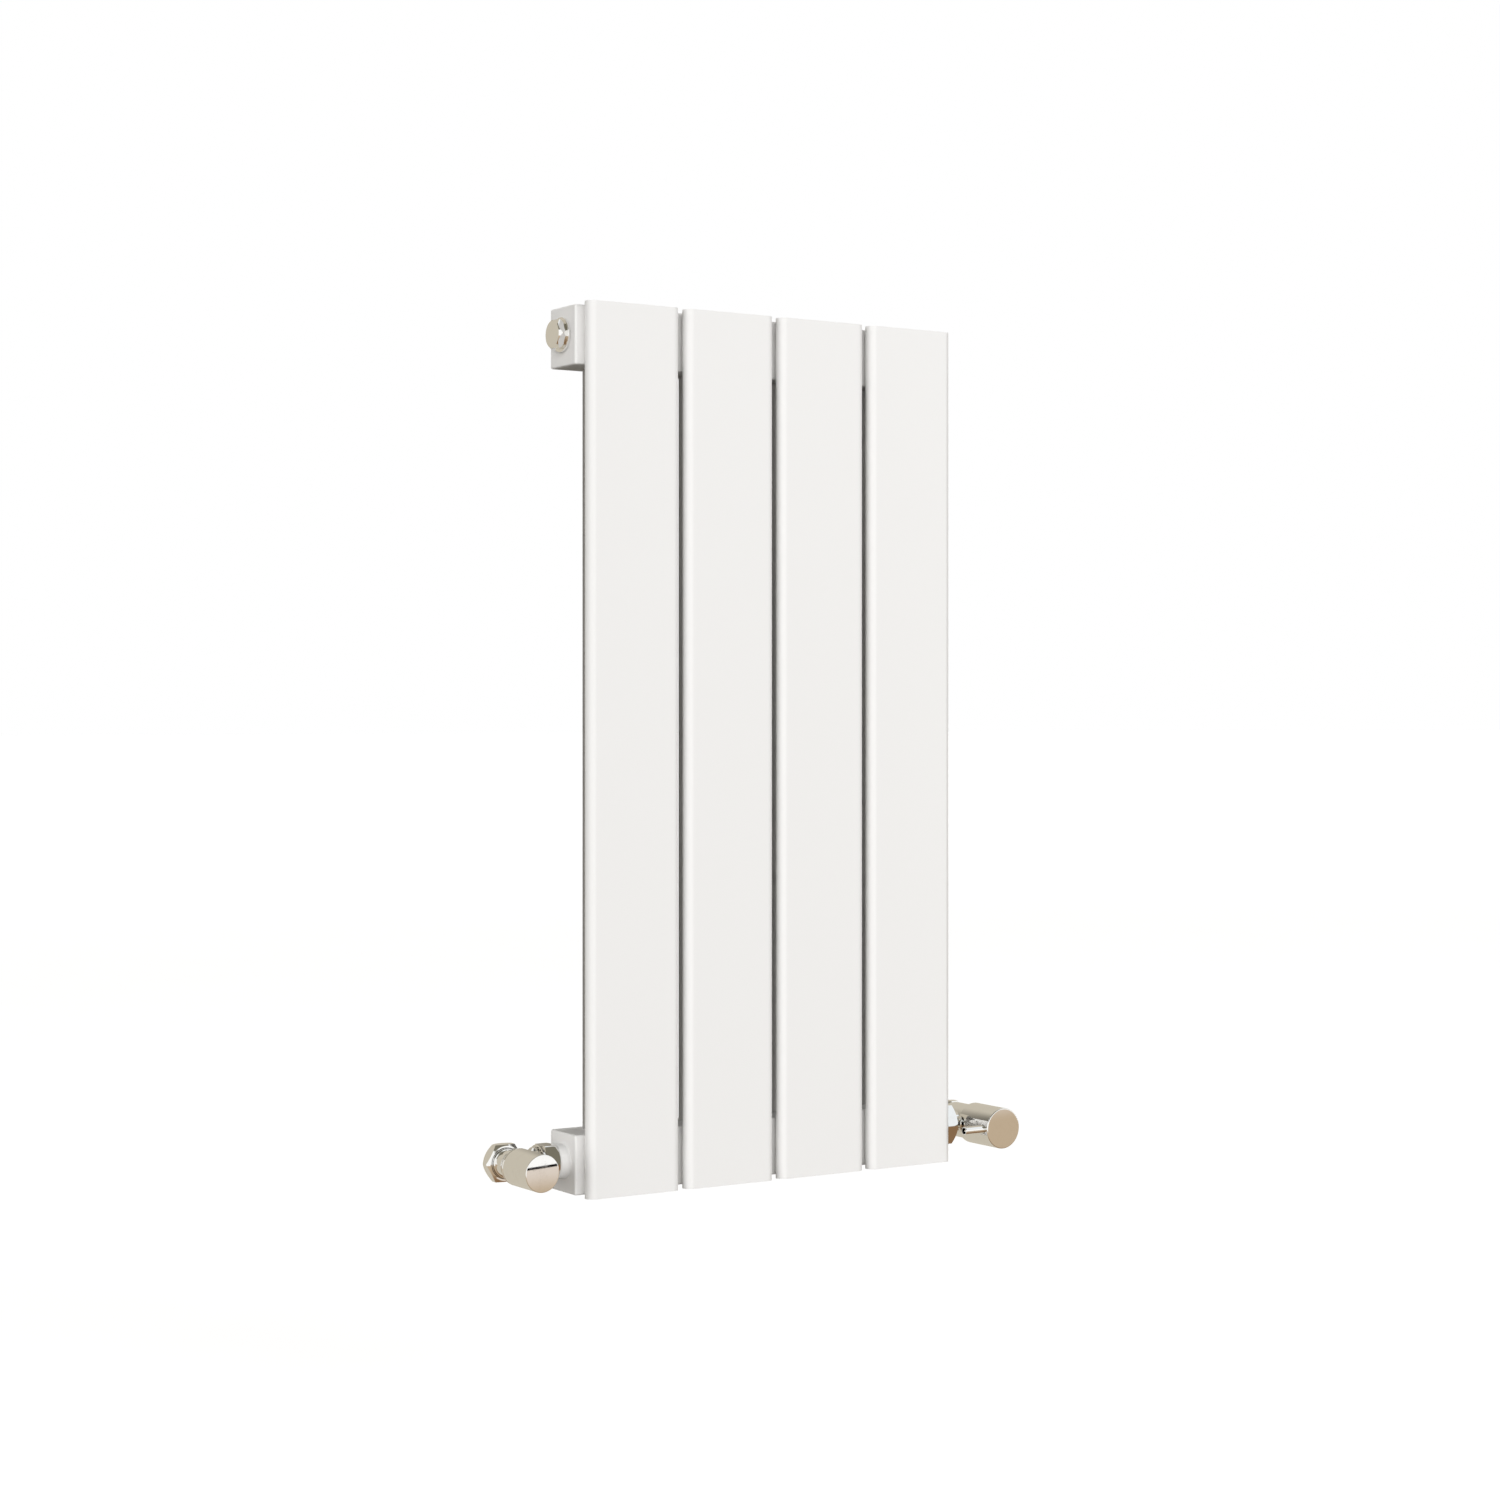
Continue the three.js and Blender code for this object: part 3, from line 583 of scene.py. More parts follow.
def rows(graph, shape, inputs):
    # sets the shape out in columns along X and rows along Z, about the middle
    line = {"mode": "OFFSET"}
    across = inputs["Column pitch"]
    start = (inputs["Columns"] - 1) * across * -0.5
    columns = graph.node("GeometryNodeMeshLine", line, {
        "Count": inputs["Columns"], "Start Location": vector(graph, x=start),
        "Offset": vector(graph, x=across)})
    up = inputs["Row pitch"]
    foot = (inputs["Rows"] - 1) * up * -0.5
    levels = graph.node("GeometryNodeMeshLine", line, {
        "Count": inputs["Rows"], "Start Location": vector(graph, z=foot),
        "Offset": vector(graph, z=up)})
    row = graph.node("GeometryNodeInstanceOnPoints", None, {"Points": columns, "Instance": shape})
    bank = graph.node("GeometryNodeInstanceOnPoints", None, {"Points": levels, "Instance": row})
    real = graph.node("GeometryNodeRealizeInstances", None, {"Geometry": bank})
    painted = graph.node("GeometryNodeSetMaterial", None, {"Geometry": real, "Material": inputs["Finish"]})
    graph.node("NodeGroupOutput", None, {"Geometry": painted})


def flatOvalTree(sizes):
    # flat oval tubes standing side by side
    tree, graph, inputs = newTree("flatOvalTubes", sizes)
    box = graph.node("GeometryNodeCurvePrimitiveQuadrilateral", {"mode": "RECTANGLE"}, {
        "Width": inputs["Width"], "Height": inputs["Thickness"]})
    oval = graph.node("GeometryNodeFilletCurve", {"mode": "POLY"}, {
        "Curve": box, "Count": inputs["Round steps"],
        "Radius": inputs["Thickness"] * 0.4999, "Limit Radius": True})
    tube = closedExtrusion(graph, oval, inputs["Height"])
    lift = vector(graph, y=inputs["Middle"], z=inputs["Height"] * -0.5)
    placed = graph.node("GeometryNodeSetPosition", None, {"Geometry": tube, "Offset": lift})
    rows(graph, placed, inputs)
    return tree


def foldedTree(sizes):
    # strips of sheet folded twice into a channel that opens towards -Y
    tree, graph, inputs = newTree("foldedChannels", sizes)
    line = graph.node("GeometryNodeMeshLine", {"mode": "OFFSET"}, {"Count": 4})
    index = graph.node("GeometryNodeInputIndex")
    x = (index > 1.5) * (inputs["Width"] - inputs["Sheet"])
    x = x - (inputs["Width"] - inputs["Sheet"]) * 0.5
    y = (abs(index - 1.5) < 1.0) * (inputs["Depth"] - inputs["Sheet"] * 0.5)
    bent = graph.node("GeometryNodeSetPosition", None, {
        "Geometry": line, "Position": vector(graph, x=x, y=y + inputs["Front"])})
    path = graph.node("GeometryNodeMeshToCurve", None, {"Mesh": bent})
    path = graph.node("GeometryNodeFilletCurve", {"mode": "POLY"}, {
        "Curve": path, "Count": 7, "Radius": inputs["Fold radius"], "Limit Radius": True})
    path = graph.node("GeometryNodeSetCurveNormal", {"mode": "Z_UP"}, {"Curve": path})
    section = graph.node("GeometryNodeCurvePrimitiveQuadrilateral", {"mode": "RECTANGLE"}, {
        "Width": inputs["Sheet"], "Height": inputs["Length"]})
    strip = graph.node("GeometryNodeCurveToMesh", None, {
        "Curve": path, "Profile Curve": section, "Fill Caps": True})
    rows(graph, strip, inputs)
    return tree


def grow(name, treeMaker, sizes, finish):
    # runs a tree on an empty mesh and keeps the result as a plain mesh
    tree = treeMaker(sizes)
    obj = link(bpy.data.meshes.new(name), name)
    step = obj.modifiers.new("grow", "NODES")
    step.node_group = tree
    for item in tree.interface.items_tree:
        if item.in_out != "INPUT" or item.name == "Geometry":
            continue
        step[item.identifier] = finish if item.name == "Finish" else sizes[item.name]
    return bake(obj)


# ---- the radiator

panelLook = {"roundSteps": 12, "endEdge": 0.9}


def makePanels():
    low, high = span("panel_tube_1")
    pitch = middle("panel_tube_2").x - middle("panel_tube_1").x
    sizes = {
        "Width": high.x - low.x,
        "Thickness": high.y - low.y,
        "Height": high.z - low.z,
        "Middle": (low.y + high.y) / 2,
        "Round steps": panelLook["roundSteps"],
        "Columns": 4,
        "Column pitch": pitch,
        "Rows": 1,
        "Row pitch": 0.0,
    }
    panels = grow("panels", flatOvalTree, sizes, finishes["white_paint"])
    soften(panels, panelLook["endEdge"], 4, 60)
    nodes = []
    for number in range(1, 5):
        nodes += [f"panel_tube_{number}", f"panel_cap_top_{number}", f"panel_cap_bottom_{number}"]
    settle(panels, "radiator", "white_paint", nodes)


channelLook = {"foldRadius": 2.6, "edge": 0.25}


def makeChannels():
    low, high = span("convector_channel_1")
    sizes = {
        "Width": high.x - low.x,
        "Depth": high.y - low.y,
        "Length": high.z - low.z,
        "Sheet": 1.5 * mm,
        "Front": low.y,
        "Fold radius": channelLook["foldRadius"] * mm,
        "Columns": 4,
        "Column pitch": middle("convector_channel_2").x - middle("convector_channel_1").x,
        "Rows": 1,
        "Row pitch": 0.0,
    }
    channels = grow("convectorChannels", foldedTree, sizes, finishes["white_paint"])
    soften(channels, channelLook["edge"], 2, 60)
    settle(channels, "radiator", "white_paint", [f"convector_channel_{n}" for n in range(1, 5)])


lugLook = {"foldRadius": 4.0, "edge": 0.5}


def makeLugs():
    low, high = span("hanging_lug_top_right")
    spots = [f"hanging_lug_{level}_{hand}" for level in ("top", "bottom") for hand in ("left", "right")]
    sizes = {
        "Width": high.x - low.x,
        "Depth": high.y - low.y,
        "Length": high.z - low.z,
        "Sheet": 3.0 * mm,
        "Front": low.y,
        "Fold radius": lugLook["foldRadius"] * mm,
        "Columns": 2,
        "Column pitch": 2 * middle("hanging_lug_top_right").x,
        "Rows": 2,
        "Row pitch": 2 * middle("hanging_lug_top_right").z,
    }
    lugs = grow("hangingLugs", foldedTree, sizes, finishes["white_paint"])
    soften(lugs, lugLook["edge"], 3, 60)
    settle(lugs, "radiator", "white_paint", spots)


headerLook = {"edge": 1.4, "wall": 2.0, "bore": 9.6, "boreDepth": 10.5, "ringSeat": 11.0, "ringSeatDepth": 2.1}


def makeHeader(level, plugNode):
    nodes = [f"header_tube_{level}", f"header_end_{level}_left", f"header_end_{level}_right"]
    low, high = span(*nodes)
    axis = middle(plugNode)
    header = block(f"header{level.title()}", low, high, headerLook["edge"])
    wall = Vector((headerLook["boreDepth"], headerLook["wall"], headerLook["wall"])) * mm
    tools = [block("hollow", low + wall, high - wall)]
    for side, end in ((-1, low.x), (1, high.x)):
        lathe = Turning((end, axis.y, axis.z), (side, 0, 0), (0, 0, 1))
        tools.append(rod("bore", lathe, headerLook["bore"], -headerLook["boreDepth"] - 1, 1))
        if level == "top":
            tools.append(rod("ringSeat", lathe, headerLook["ringSeat"], -headerLook["ringSeatDepth"], 1))
    combine(header, tools, "DIFFERENCE")
    settle(header, "radiator", "white_paint", nodes)


bossLook = {"bore": 9.6, "edge": 0.7}


def makeBoss():
    low, high = span("inlet_boss_left")
    centre = (low + high) / 2
    length = (high.x - low.x) / mm
    radius = (high.z - low.z) / 2 / mm
    lathe = Turning((high.x, centre.y, centre.z), (-1, 0, 0), (0, 0, 1))
    edge = bossLook["edge"]
    outline = roundCorners([
        (bossLook["bore"], -0.3), (radius + 0.5, -0.3), (radius, 0.5, 0.6),
        (radius, length, edge), (bossLook["bore"], length, 0.3)], True)
    boss = turn("inletBoss", lathe, outline, closed=True)
    settle(boss, "radiator", "white_paint", ["inlet_boss_left"])


makePanels()
makeChannels()
makeLugs()
makeHeader("top", "blanking_plug")
makeHeader("bottom", "inlet_boss_left")
makeBoss()
print("radiator made")


# ---- wall brackets

bracketLook = {
    "sheet": 3.0, "corner": 4.0, "foldRadius": 3.2, "edge": 0.35,
    "slotLength": 13.0, "slotWidth": 7.0, "slotInset": 10.5, "tongueWidth": 20.0,
}


def bracketTree(sizes):
    # a slotted plate on the wall, and a folded arm that carries the lug
    tree, graph, inputs = newTree("wallBrackets", sizes)
    quad = "GeometryNodeCurvePrimitiveQuadrilateral"
    plate = graph.node(quad, {"mode": "RECTANGLE"}, {
        "Width": inputs["Width"], "Height": inputs["Plate height"]})
    plate = graph.node("GeometryNodeFilletCurve", {"mode": "POLY"}, {
        "Curve": plate, "Count": 6, "Radius": inputs["Corner"], "Limit Radius": True})
    slot = graph.node(quad, {"mode": "RECTANGLE"}, {
        "Width": inputs["Slot length"], "Height": inputs["Slot width"]})
    slot = graph.node("GeometryNodeFilletCurve", {"mode": "POLY"}, {
        "Curve": slot, "Count": 8, "Radius": inputs["Slot width"] * 0.4999,
        "Limit Radius": True})
    spread = inputs["Width"] * 0.5 - inputs["Slot inset"]
    slots = []
    for side in (-1.0, 1.0):
        slots.append(graph.node("GeometryNodeSetPosition", None, {
            "Geometry": slot, "Offset": vector(graph, x=spread * side)}))
    outline = graph.node("GeometryNodeJoinGeometry", None, {"Geometry": plate})
    for one in slots:
        graph.tree.links.new(one.socket, graph.last.inputs["Geometry"])
    slab = closedExtrusion(graph, outline, inputs["Sheet"])
    stand = graph.node("GeometryNodeTransform", None, {
        "Geometry": slab, "Rotation": (math.pi / 2, 0.0, 0.0)})
    stand = graph.node("GeometryNodeSetPosition", None, {
        "Geometry": stand, "Offset": vector(graph, z=inputs["Plate middle"])})
    # the arm's path goes out from the plate and turns up into the tongue
    line = graph.node("GeometryNodeMeshLine", {"mode": "OFFSET"}, {"Count": 3})
    index = graph.node("GeometryNodeInputIndex")
    out = (index > 0.5) * (inputs["Reach"] - inputs["Sheet"]) + inputs["Sheet"] * 0.5
    rise = (index > 1.5) * inputs["Tongue height"]
    bent = graph.node("GeometryNodeSetPosition", None, {
        "Geometry": line, "Position": vector(graph, y=out * -1.0, z=rise + inputs["Arm level"])})
    path = graph.node("GeometryNodeMeshToCurve", None, {"Mesh": bent})
    path = graph.node("GeometryNodeFilletCurve", {"mode": "POLY"}, {
        "Curve": path, "Count": 7, "Radius": inputs["Fold radius"], "Limit Radius": True})
    section = graph.node(quad, {"mode": "RECTANGLE"}, {
        "Width": inputs["Tongue width"], "Height": inputs["Sheet"]})
    arm = graph.node("GeometryNodeCurveToMesh", None, {
        "Curve": path, "Profile Curve": section, "Fill Caps": True})
    both = graph.node("GeometryNodeJoinGeometry", None, {"Geometry": stand})
    graph.tree.links.new(arm.socket, graph.last.inputs["Geometry"])
    rows(graph, both, inputs)
    return tree


def makeBrackets():
    low, high = span("wall_bracket_top_right")
    lowest, _ = span("wall_bracket_bottom_right")
    lugLow, _ = span("hanging_lug_top_right")
    sheet = bracketLook["sheet"] * mm
    rowPitch = low.z - lowest.z
    armTop = lugLow.z - 0.3 * mm
    level = armTop - sheet / 2 - rowPitch / 2
    sizes = {
        "Width": high.x - low.x,
        "Plate height": high.z - low.z,
        "Plate middle": (high.z + low.z) / 2 - rowPitch / 2,
        "Sheet": sheet,
        "Corner": bracketLook["corner"] * mm,
        "Slot length": bracketLook["slotLength"] * mm,
        "Slot width": bracketLook["slotWidth"] * mm,
        "Slot inset": bracketLook["slotInset"] * mm,
        "Reach": -low.y,
        "Arm level": level,
        "Tongue height": 17 * mm + sheet / 2,
        "Tongue width": bracketLook["tongueWidth"] * mm,
        "Fold radius": bracketLook["foldRadius"] * mm,
        "Columns": 2,
        "Column pitch": 2 * middle("wall_bracket_top_right").x,
        "Rows": 2,
        "Row pitch": rowPitch,
    }
    brackets = grow("wallBracketSet", bracketTree, sizes, finishes["zinc_steel"])
    soften(brackets, bracketLook["edge"], 2, 60)
    spots = [f"wall_bracket_{level}_{hand}" for level in ("top", "bottom") for hand in ("left", "right")]
    settle(brackets, "radiator", "zinc_steel", spots)


makeBrackets()
print("brackets made")


# ---- plugs in the top header

plugLook = {
    "flange": 11.7, "flangeThickness": 2.0, "flats": 19.0, "face": 9.2, "chamfer": 2.5,
    "thread": 9.3, "groove": 8.6, "grooveDepth": 2.1, "shank": 9.5, "cornerRound": 0.35,
    "pocket": 4.6, "pocketDepth": 5.6, "stem": 2.9, "seatDepth": 14.0, "vent": 1.2,
}


def plugOutline(length):
    look = plugLook
    start = look["flangeThickness"] + 0.3
    across = hexRadius(look["flats"], math.pi / 6, look["cornerRound"])
    corner = look["flats"] / 2 / math.cos(math.pi / 6)
    slope = look["chamfer"] / (corner - look["face"])
    outer = roundCorners([
        (0, -look["shank"]), (look["thread"] - 0.8, -look["shank"]), (look["thread"], -look["shank"] + 0.8),
        (look["thread"], -look["grooveDepth"]), (look["groove"], -look["grooveDepth"]),
        (look["groove"], 0.3), (look["flange"], 0.3, 0.25), (look["flange"], start, 0.45),
        (look["face"] - 0.2, start)], False)
    hexagon = [
        (look["face"], start),
        (across, lambda angle: start + (across(angle) - look["face"]) * slope),
        (across, lambda angle: length - (across(angle) - look["face"]) * slope),
        (look["face"], length),
        (look["face"] - 0.25, length),
    ]
    return outer + hexagon


def makeBlankingPlug():
    low, high = span("blanking_plug")
    _, headerHigh = span("header_end_top_right")
    centre = (low + high) / 2
    end = -headerHigh.x
    lathe = Turning((end, centre.y, centre.z), (-1, 0, 0), (0, 0, 1))
    length = (end - low.x) / mm
    outline = plugOutline(length) + [(0, length)]
    plug = turn("blankingPlug", lathe, outline, hexTurn(math.pi / 6))
    settle(plug, "radiator", "chrome", ["blanking_plug"], 18)


def makeBleedPlug():
    look = plugLook
    _, high = span("bleed_plug")
    centre = middle("bleed_plug")
    _, headerHigh = span("header_end_top_right")
    lathe = Turning((headerHigh.x, centre.y, centre.z), (1, 0, 0), (0, 0, 1))
    length = (high.x - headerHigh.x) / mm
    seat = length - look["seatDepth"]
    inside = roundCorners([
        (look["pocket"], length, 0.3), (look["pocket"], length - look["pocketDepth"], 0.3),
        (look["stem"], length - look["pocketDepth"]), (look["stem"], seat + 1.5),
        (look["vent"], seat), (look["vent"], -look["shank"])], True)
    outline = plugOutline(length)[1:] + inside
    plug = turn("bleedPlug", lathe, outline, hexTurn(math.pi / 6), closed=True)
    settle(plug, "radiator", "chrome", ["bleed_plug"], 18)


bleedLook = {"side": 5.0, "headLength": 5.0, "stem": 2.6, "tip": 1.2}


def makeBleedScrew():
    low, high = span("bleed_screw")
    centre = (low + high) / 2
    lathe = Turning((high.x, centre.y, centre.z), (1, 0, 0), (0, 0, 1))
    half = bleedLook["side"] / 2
    length = (high.x - low.x) / mm
    screw = rod("bleedScrew", lathe, bleedLook["stem"], -length + 1.5, -bleedLook["headLength"] + 1)
    tip = turn("tip", lathe, [
        (0, -length), (bleedLook["tip"], -length), (bleedLook["stem"], -length + 1.5),
        (bleedLook["stem"], -length + 2), (0, -length + 2)])
    corner = Vector((high.x, centre.y + half * mm, centre.z + half * mm))
    opposite = Vector((high.x - bleedLook["headLength"] * mm, centre.y - half * mm, centre.z - half * mm))
    head = block("head", opposite, corner, 0.35, 3)
    combine(screw, [tip, head], "UNION")
    settle(screw, "bleed_screw", "brass", ["bleed_screw"])


makeBlankingPlug()
makeBleedPlug()
makeBleedScrew()
print("plugs made")


# ---- valves: u runs from the barrel's axis to the radiator, v from the outlet's axis to the wall

valveLook = {
    "barrel": 12.5, "barrelFront": -8.5, "chamber": 7.2, "seat": 4.2, "seatFront": 4.0,
    "seatEnd": 6.5, "waterway": 5.2, "washer": 5.0, "socket": 7.65, "thread": 10.2, "threadLength": 4.6,
    "outletNeck": 8.1, "ring": 11.0, "ringWidth": 1.1, "ringGap": 1.3, "outletEnd": 25.1,
    "nutFace": 29.7, "nutLip": 2.0, "tail": 9.6, "oliveSpace": 2.7,
}

lockshieldLook = {
    "name": "lockshield", "shoulderStart": -7.9, "shoulderEnd": -0.5, "neck": 9.9, "neckEnd": 10.1,
    "unionFlats": 24.0, "unionHex": 9.9, "unionCollar": 2.6, "turned": 1,
}

manualLook = {
    "name": "manual", "shoulderStart": 13.5, "shoulderEnd": 17.0, "neck": 8.7, "neckEnd": 17.3,
    "unionFlats": 28.2, "unionHex": 11.8, "unionCollar": 0.0, "turned": -1,
}


def valveCentre(look):
    nut = middle(f"{look['name']}_compression_nut")
    union = middle(f"{look['name']}_union_nut")
    return Vector((nut.x, union.y, nut.z))


def barrelLathe(look):
    return Turning(valveCentre(look), (0, 1, 0), (look["turned"], 0, 0))


def outletLathe(look):
    return Turning(valveCentre(look), (look["turned"], 0, 0), (0, -1, 0))


def wave(fromRadius, toRadius, start, end, steps=10):
    # a smooth shoulder from one radius to another
    made = []
    for i in range(steps + 1):
        share = i / steps
        ease = (1 - math.cos(math.pi * share)) / 2
        made.append((fromRadius + (toRadius - fromRadius) * ease, start + (end - start) * share))
    return made


def makeValveBody(look):
    shape = valveLook
    barrelAxis = barrelLathe(look)
    outletAxis = outletLathe(look)
    threadStart = look["neckEnd"] + 0.36
    threadEnd = look["neckEnd"] + 0.6 + shape["threadLength"]
    front = shape["barrelFront"]
    outside = [(0, front), (shape["barrel"] - 0.25, front), (shape["barrel"], front + 0.25)]
    outside += wave(shape["barrel"], look["neck"], look["shoulderStart"], look["shoulderEnd"])
    outside += roundCorners([
        (look["neck"], look["shoulderEnd"] + 0.1), (look["neck"], threadStart),
        (shape["thread"], threadStart, 0.3), (shape["thread"], threadEnd, 0.5), (0, threadEnd)], False)
    body = turn(f"{look['name']}Body", barrelAxis, outside)
    ringEnd = shape["nutFace"] - look["unionHex"] - look["unionCollar"] - shape["ringGap"]
    outlet = turn("outlet", outletAxis, roundCorners([
        (0, 0), (shape["outletNeck"], 0), (shape["outletNeck"], ringEnd - shape["ringWidth"], 0.4),
        (shape["ring"], ringEnd - shape["ringWidth"], 0.35), (shape["ring"], ringEnd, 0.35),
        (shape["outletNeck"], ringEnd), (shape["outletNeck"], ringEnd + shape["ringGap"] + 1),
        (shape["thread"], ringEnd + shape["ringGap"] + 1, 0.3), (shape["thread"], shape["outletEnd"], 0.4),
        (0, shape["outletEnd"])], False))
    combine(body, [outlet], "UNION")
    combine(body, [
        rod("chamber", barrelAxis, shape["chamber"], front - 1, shape["seatFront"]),
        rod("seat", barrelAxis, shape["seat"], shape["seatFront"] - 1, shape["seatEnd"] + 1.5),
        rod("socket", barrelAxis, shape["socket"], shape["seatEnd"] + 1, threadEnd + 1),
        rod("waterway", outletAxis, shape["waterway"], shape["washer"], shape["outletEnd"] + 1),
    ], "DIFFERENCE")
    settle(body, "radiator", "chrome", [f"{look['name']}_body"], 28)


nutLook = {
    "cornerRound": 0.45, "unionFace": 11.6, "unionChamfer": 1.5, "collarOver": 0.4,
    "compressionFlats": 24.9, "compressionLength": 9.6, "compressionFace": 11.9, "compressionChamfer": 1.4,
    "compressionBackChamfer": 3.6,
}


def makeUnionNut(look):
    shape = valveLook
    lathe = outletLathe(look)
    flats = look["unionFlats"]
    face = shape["nutFace"]
    hexBack = face - look["unionHex"]
    back = hexBack - look["unionCollar"]
    start = math.pi if look["turned"] > 0 else 0.0
    across = hexRadius(flats, start, nutLook["cornerRound"])
    corner = flats / 2 / math.cos(math.pi / 6)
    ridge = flats / 2 - 0.25
    slope = nutLook["unionChamfer"] / (corner - ridge)
    bore = shape["thread"] + 0.3
    lip = shape["tail"]
    outline = [
        (bore, back), (bore, face - shape["nutLip"]), (lip, face - shape["nutLip"]), (lip, face),
        (ridge, face), (across, lambda angle: face - (across(angle) - ridge) * slope)]
    if look["unionCollar"]:
        collar = flats / 2 + nutLook["collarOver"]
        outline += [
            (across, lambda angle: hexBack + max(0.0, across(angle) - collar) * 0.3),
            (lambda angle: min(collar, across(angle)), hexBack),
            (collar - 0.9, hexBack - 0.25), (collar - 0.9, hexBack - 0.7), (collar - 0.1, hexBack - 0.9),
            (collar - 0.1, back + 0.4), (collar - 0.5, back)]
    else:
        outline += [(across, lambda angle: back + (across(angle) - ridge) * slope), (ridge, back)]
    nut = turn(f"{look['name']}UnionNut", lathe, outline, hexTurn(start), closed=True)
    settle(nut, f"{look['name']}_union_nut", "chrome", [f"{look['name']}_union_nut"], 18)


def makeCompressionNut(look):
    shape = valveLook
    size = nutLook
    lathe = barrelLathe(look)
    front = look["neckEnd"] + 0.3
    back = front + size["compressionLength"]
    start = 0.0
    across = hexRadius(size["compressionFlats"], start, size["cornerRound"])
    corner = size["compressionFlats"] / 2 / math.cos(math.pi / 6)
    slope = size["compressionChamfer"] / (corner - size["compressionFace"])
    backSlope = size["compressionBackChamfer"] / (corner - size["compressionFace"])
    bore = shape["thread"] + 0.3
    deep = front + 0.6 + shape["threadLength"] + shape["oliveSpace"]
    outline = [
        (bore, deep), (bore, front + 0.25), (bore + 0.25, front),
        (size["compressionFace"] - 0.2, front), (size["compressionFace"], front + 0.08),
        (across, lambda angle: front + (across(angle) - size["compressionFace"]) * slope),
        (across, lambda angle: back - (across(angle) - size["compressionFace"]) * backSlope),
        (size["compressionFace"], back), (shape["socket"] + 0.4, back), (shape["socket"], back - 0.4),
        (shape["socket"], deep + 1)]
    nut = turn(f"{look['name']}CompressionNut", lathe, outline, hexTurn(start), closed=True)
    settle(nut, f"{look['name']}_compression_nut", "chrome", [f"{look['name']}_compression_nut"], 18)


capLook = {"edge": 0.45, "wall": 1.4, "roof": 2.8, "rearEdge": 0.2}


def makeCap():
    low, high = span("lockshield_cap")
    centre = valveCentre(lockshieldLook)
    lathe = Turning((centre.x, low.y, centre.z), (0, 1, 0), (0, 0, 1))
    radius = (high.x - low.x) / 2 / mm
    rear = (high.y - low.y) / mm
    inner = radius - capLook["wall"]
    outline = roundCorners([
        (0, 0), (radius - capLook["edge"] - 0.1, 0), (radius, 0, capLook["edge"]),
        (radius, rear, capLook["rearEdge"]), (inner, rear, 0.2),
        (inner, capLook["roof"], 1.5), (0, capLook["roof"])], False)
    cap = turn("lockshieldCap", lathe, outline)
    settle(cap, "lockshield_cap", "chrome", ["lockshield_cap"], 24)


handleLook = {
    "edge": 0.75, "rearEdge": 1.1, "bore": 11.2, "core": 12.5, "socket": 2.0, "stem": 3.2,
    "leverHole": 3.12, "leverSetback": 5.4,
}


def makeHandle():
    low, high = span("manual_handle")
    centre = valveCentre(manualLook)
    lathe = Turning((centre.x, low.y, centre.z), (0, 1, 0), (0, 0, 1))
    radius = (high.z - low.z) / 2 / mm
    rear = (high.y - low.y) / mm
    outline = roundCorners([
        (0, 0), (radius - handleLook["edge"] - 0.1, 0), (radius, 0, handleLook["edge"]),
        (radius, rear, handleLook["rearEdge"]), (handleLook["bore"], rear, 0.3), (handleLook["bore"], handleLook["core"], 0.8),
        (handleLook["stem"], handleLook["core"]), (handleLook["stem"], handleLook["socket"]),
        (0, handleLook["socket"])], False)
    handle = turn("manualHandle", lathe, outline)
    place = (centre.x, low.y + handleLook["leverSetback"] * mm, centre.z)
    across = Turning(place, (-1, 0, 0), (0, 0, 1))
    hole = rod("hole", across, handleLook["leverHole"], 0, radius + 1, evenTurn(48))
    combine(handle, [hole], "DIFFERENCE")
    settle(handle, "manual_handle", "chrome", ["manual_handle"], 24)


leverLook = {"tipEdge": 0.5, "socket": 2.3, "socketDepth": 9.0}


def makeLever():
    low, high = span("manual_lever")
    centre = middle("manual_lever")
    radius = (high.z - low.z) / 2 / mm
    lathe = Turning((high.x, centre.y, centre.z), (-1, 0, 0), (0, 0, 1))
    length = (high.x - low.x) / mm
    outline = roundCorners([
        (0, 0), (radius, 0, 0.3), (radius, length, leverLook["tipEdge"]), (leverLook["socket"], length, 0.15),
        (leverLook["socket"], length - leverLook["socketDepth"]),
        (0, length - leverLook["socketDepth"] - 1)], False)
    lever = turn("manualLever", lathe, outline, evenTurn(64))
    settle(lever, "manual_handle", "chrome", ["manual_lever"], 24)


headgearLook = {
    "flats": 17.0, "hexLength": 4.0, "neck": 6.4, "neckLength": 6.0, "skirt": 6.9, "skirtLength": 5.0,
    "stem": 3.2, "gland": 2.3, "glandInset": 1.3, "plugBore": 5.5,
}


def makeHeadgear(look):
    # the brass neck that the cap hides: it guides the spindle
    size = headgearLook
    lathe = barrelLathe(look)
    hexBack = valveLook["barrelFront"] - 0.3
    hexFront = hexBack - size["hexLength"]
    top = hexFront - size["neckLength"]
    rear = valveLook["barrelFront"] + size["skirtLength"]
    skirtTop = hexBack - 0.8
    across = hexRadius(size["flats"], 0.0, 0.3)
    face = size["flats"] / 2 - 0.2
    glandFront = top + size["glandInset"]
    outline = roundCorners([
        (size["stem"], top, 0.2), (size["neck"], top, 0.5), (size["neck"], hexFront, 0.4), (face, hexFront)],
        True)
    outline += [
        (across, lambda angle: hexFront + (across(angle) - face) * 0.58), (across, hexBack),
        (size["skirt"], hexBack), (size["skirt"], rear), (size["plugBore"], rear),
        (size["plugBore"], skirtTop), (size["stem"], skirtTop), (size["stem"], glandFront + size["gland"]),
        (size["stem"] + size["gland"], glandFront + size["gland"]),
        (size["stem"] + size["gland"], glandFront), (size["stem"], glandFront)]
    gear = turn(f"{look['name']}Headgear", lathe, outline, hexTurn(0.0), closed=True)
    settle(gear, "radiator", "brass", [f"{look['name']}_headgear"], 24)


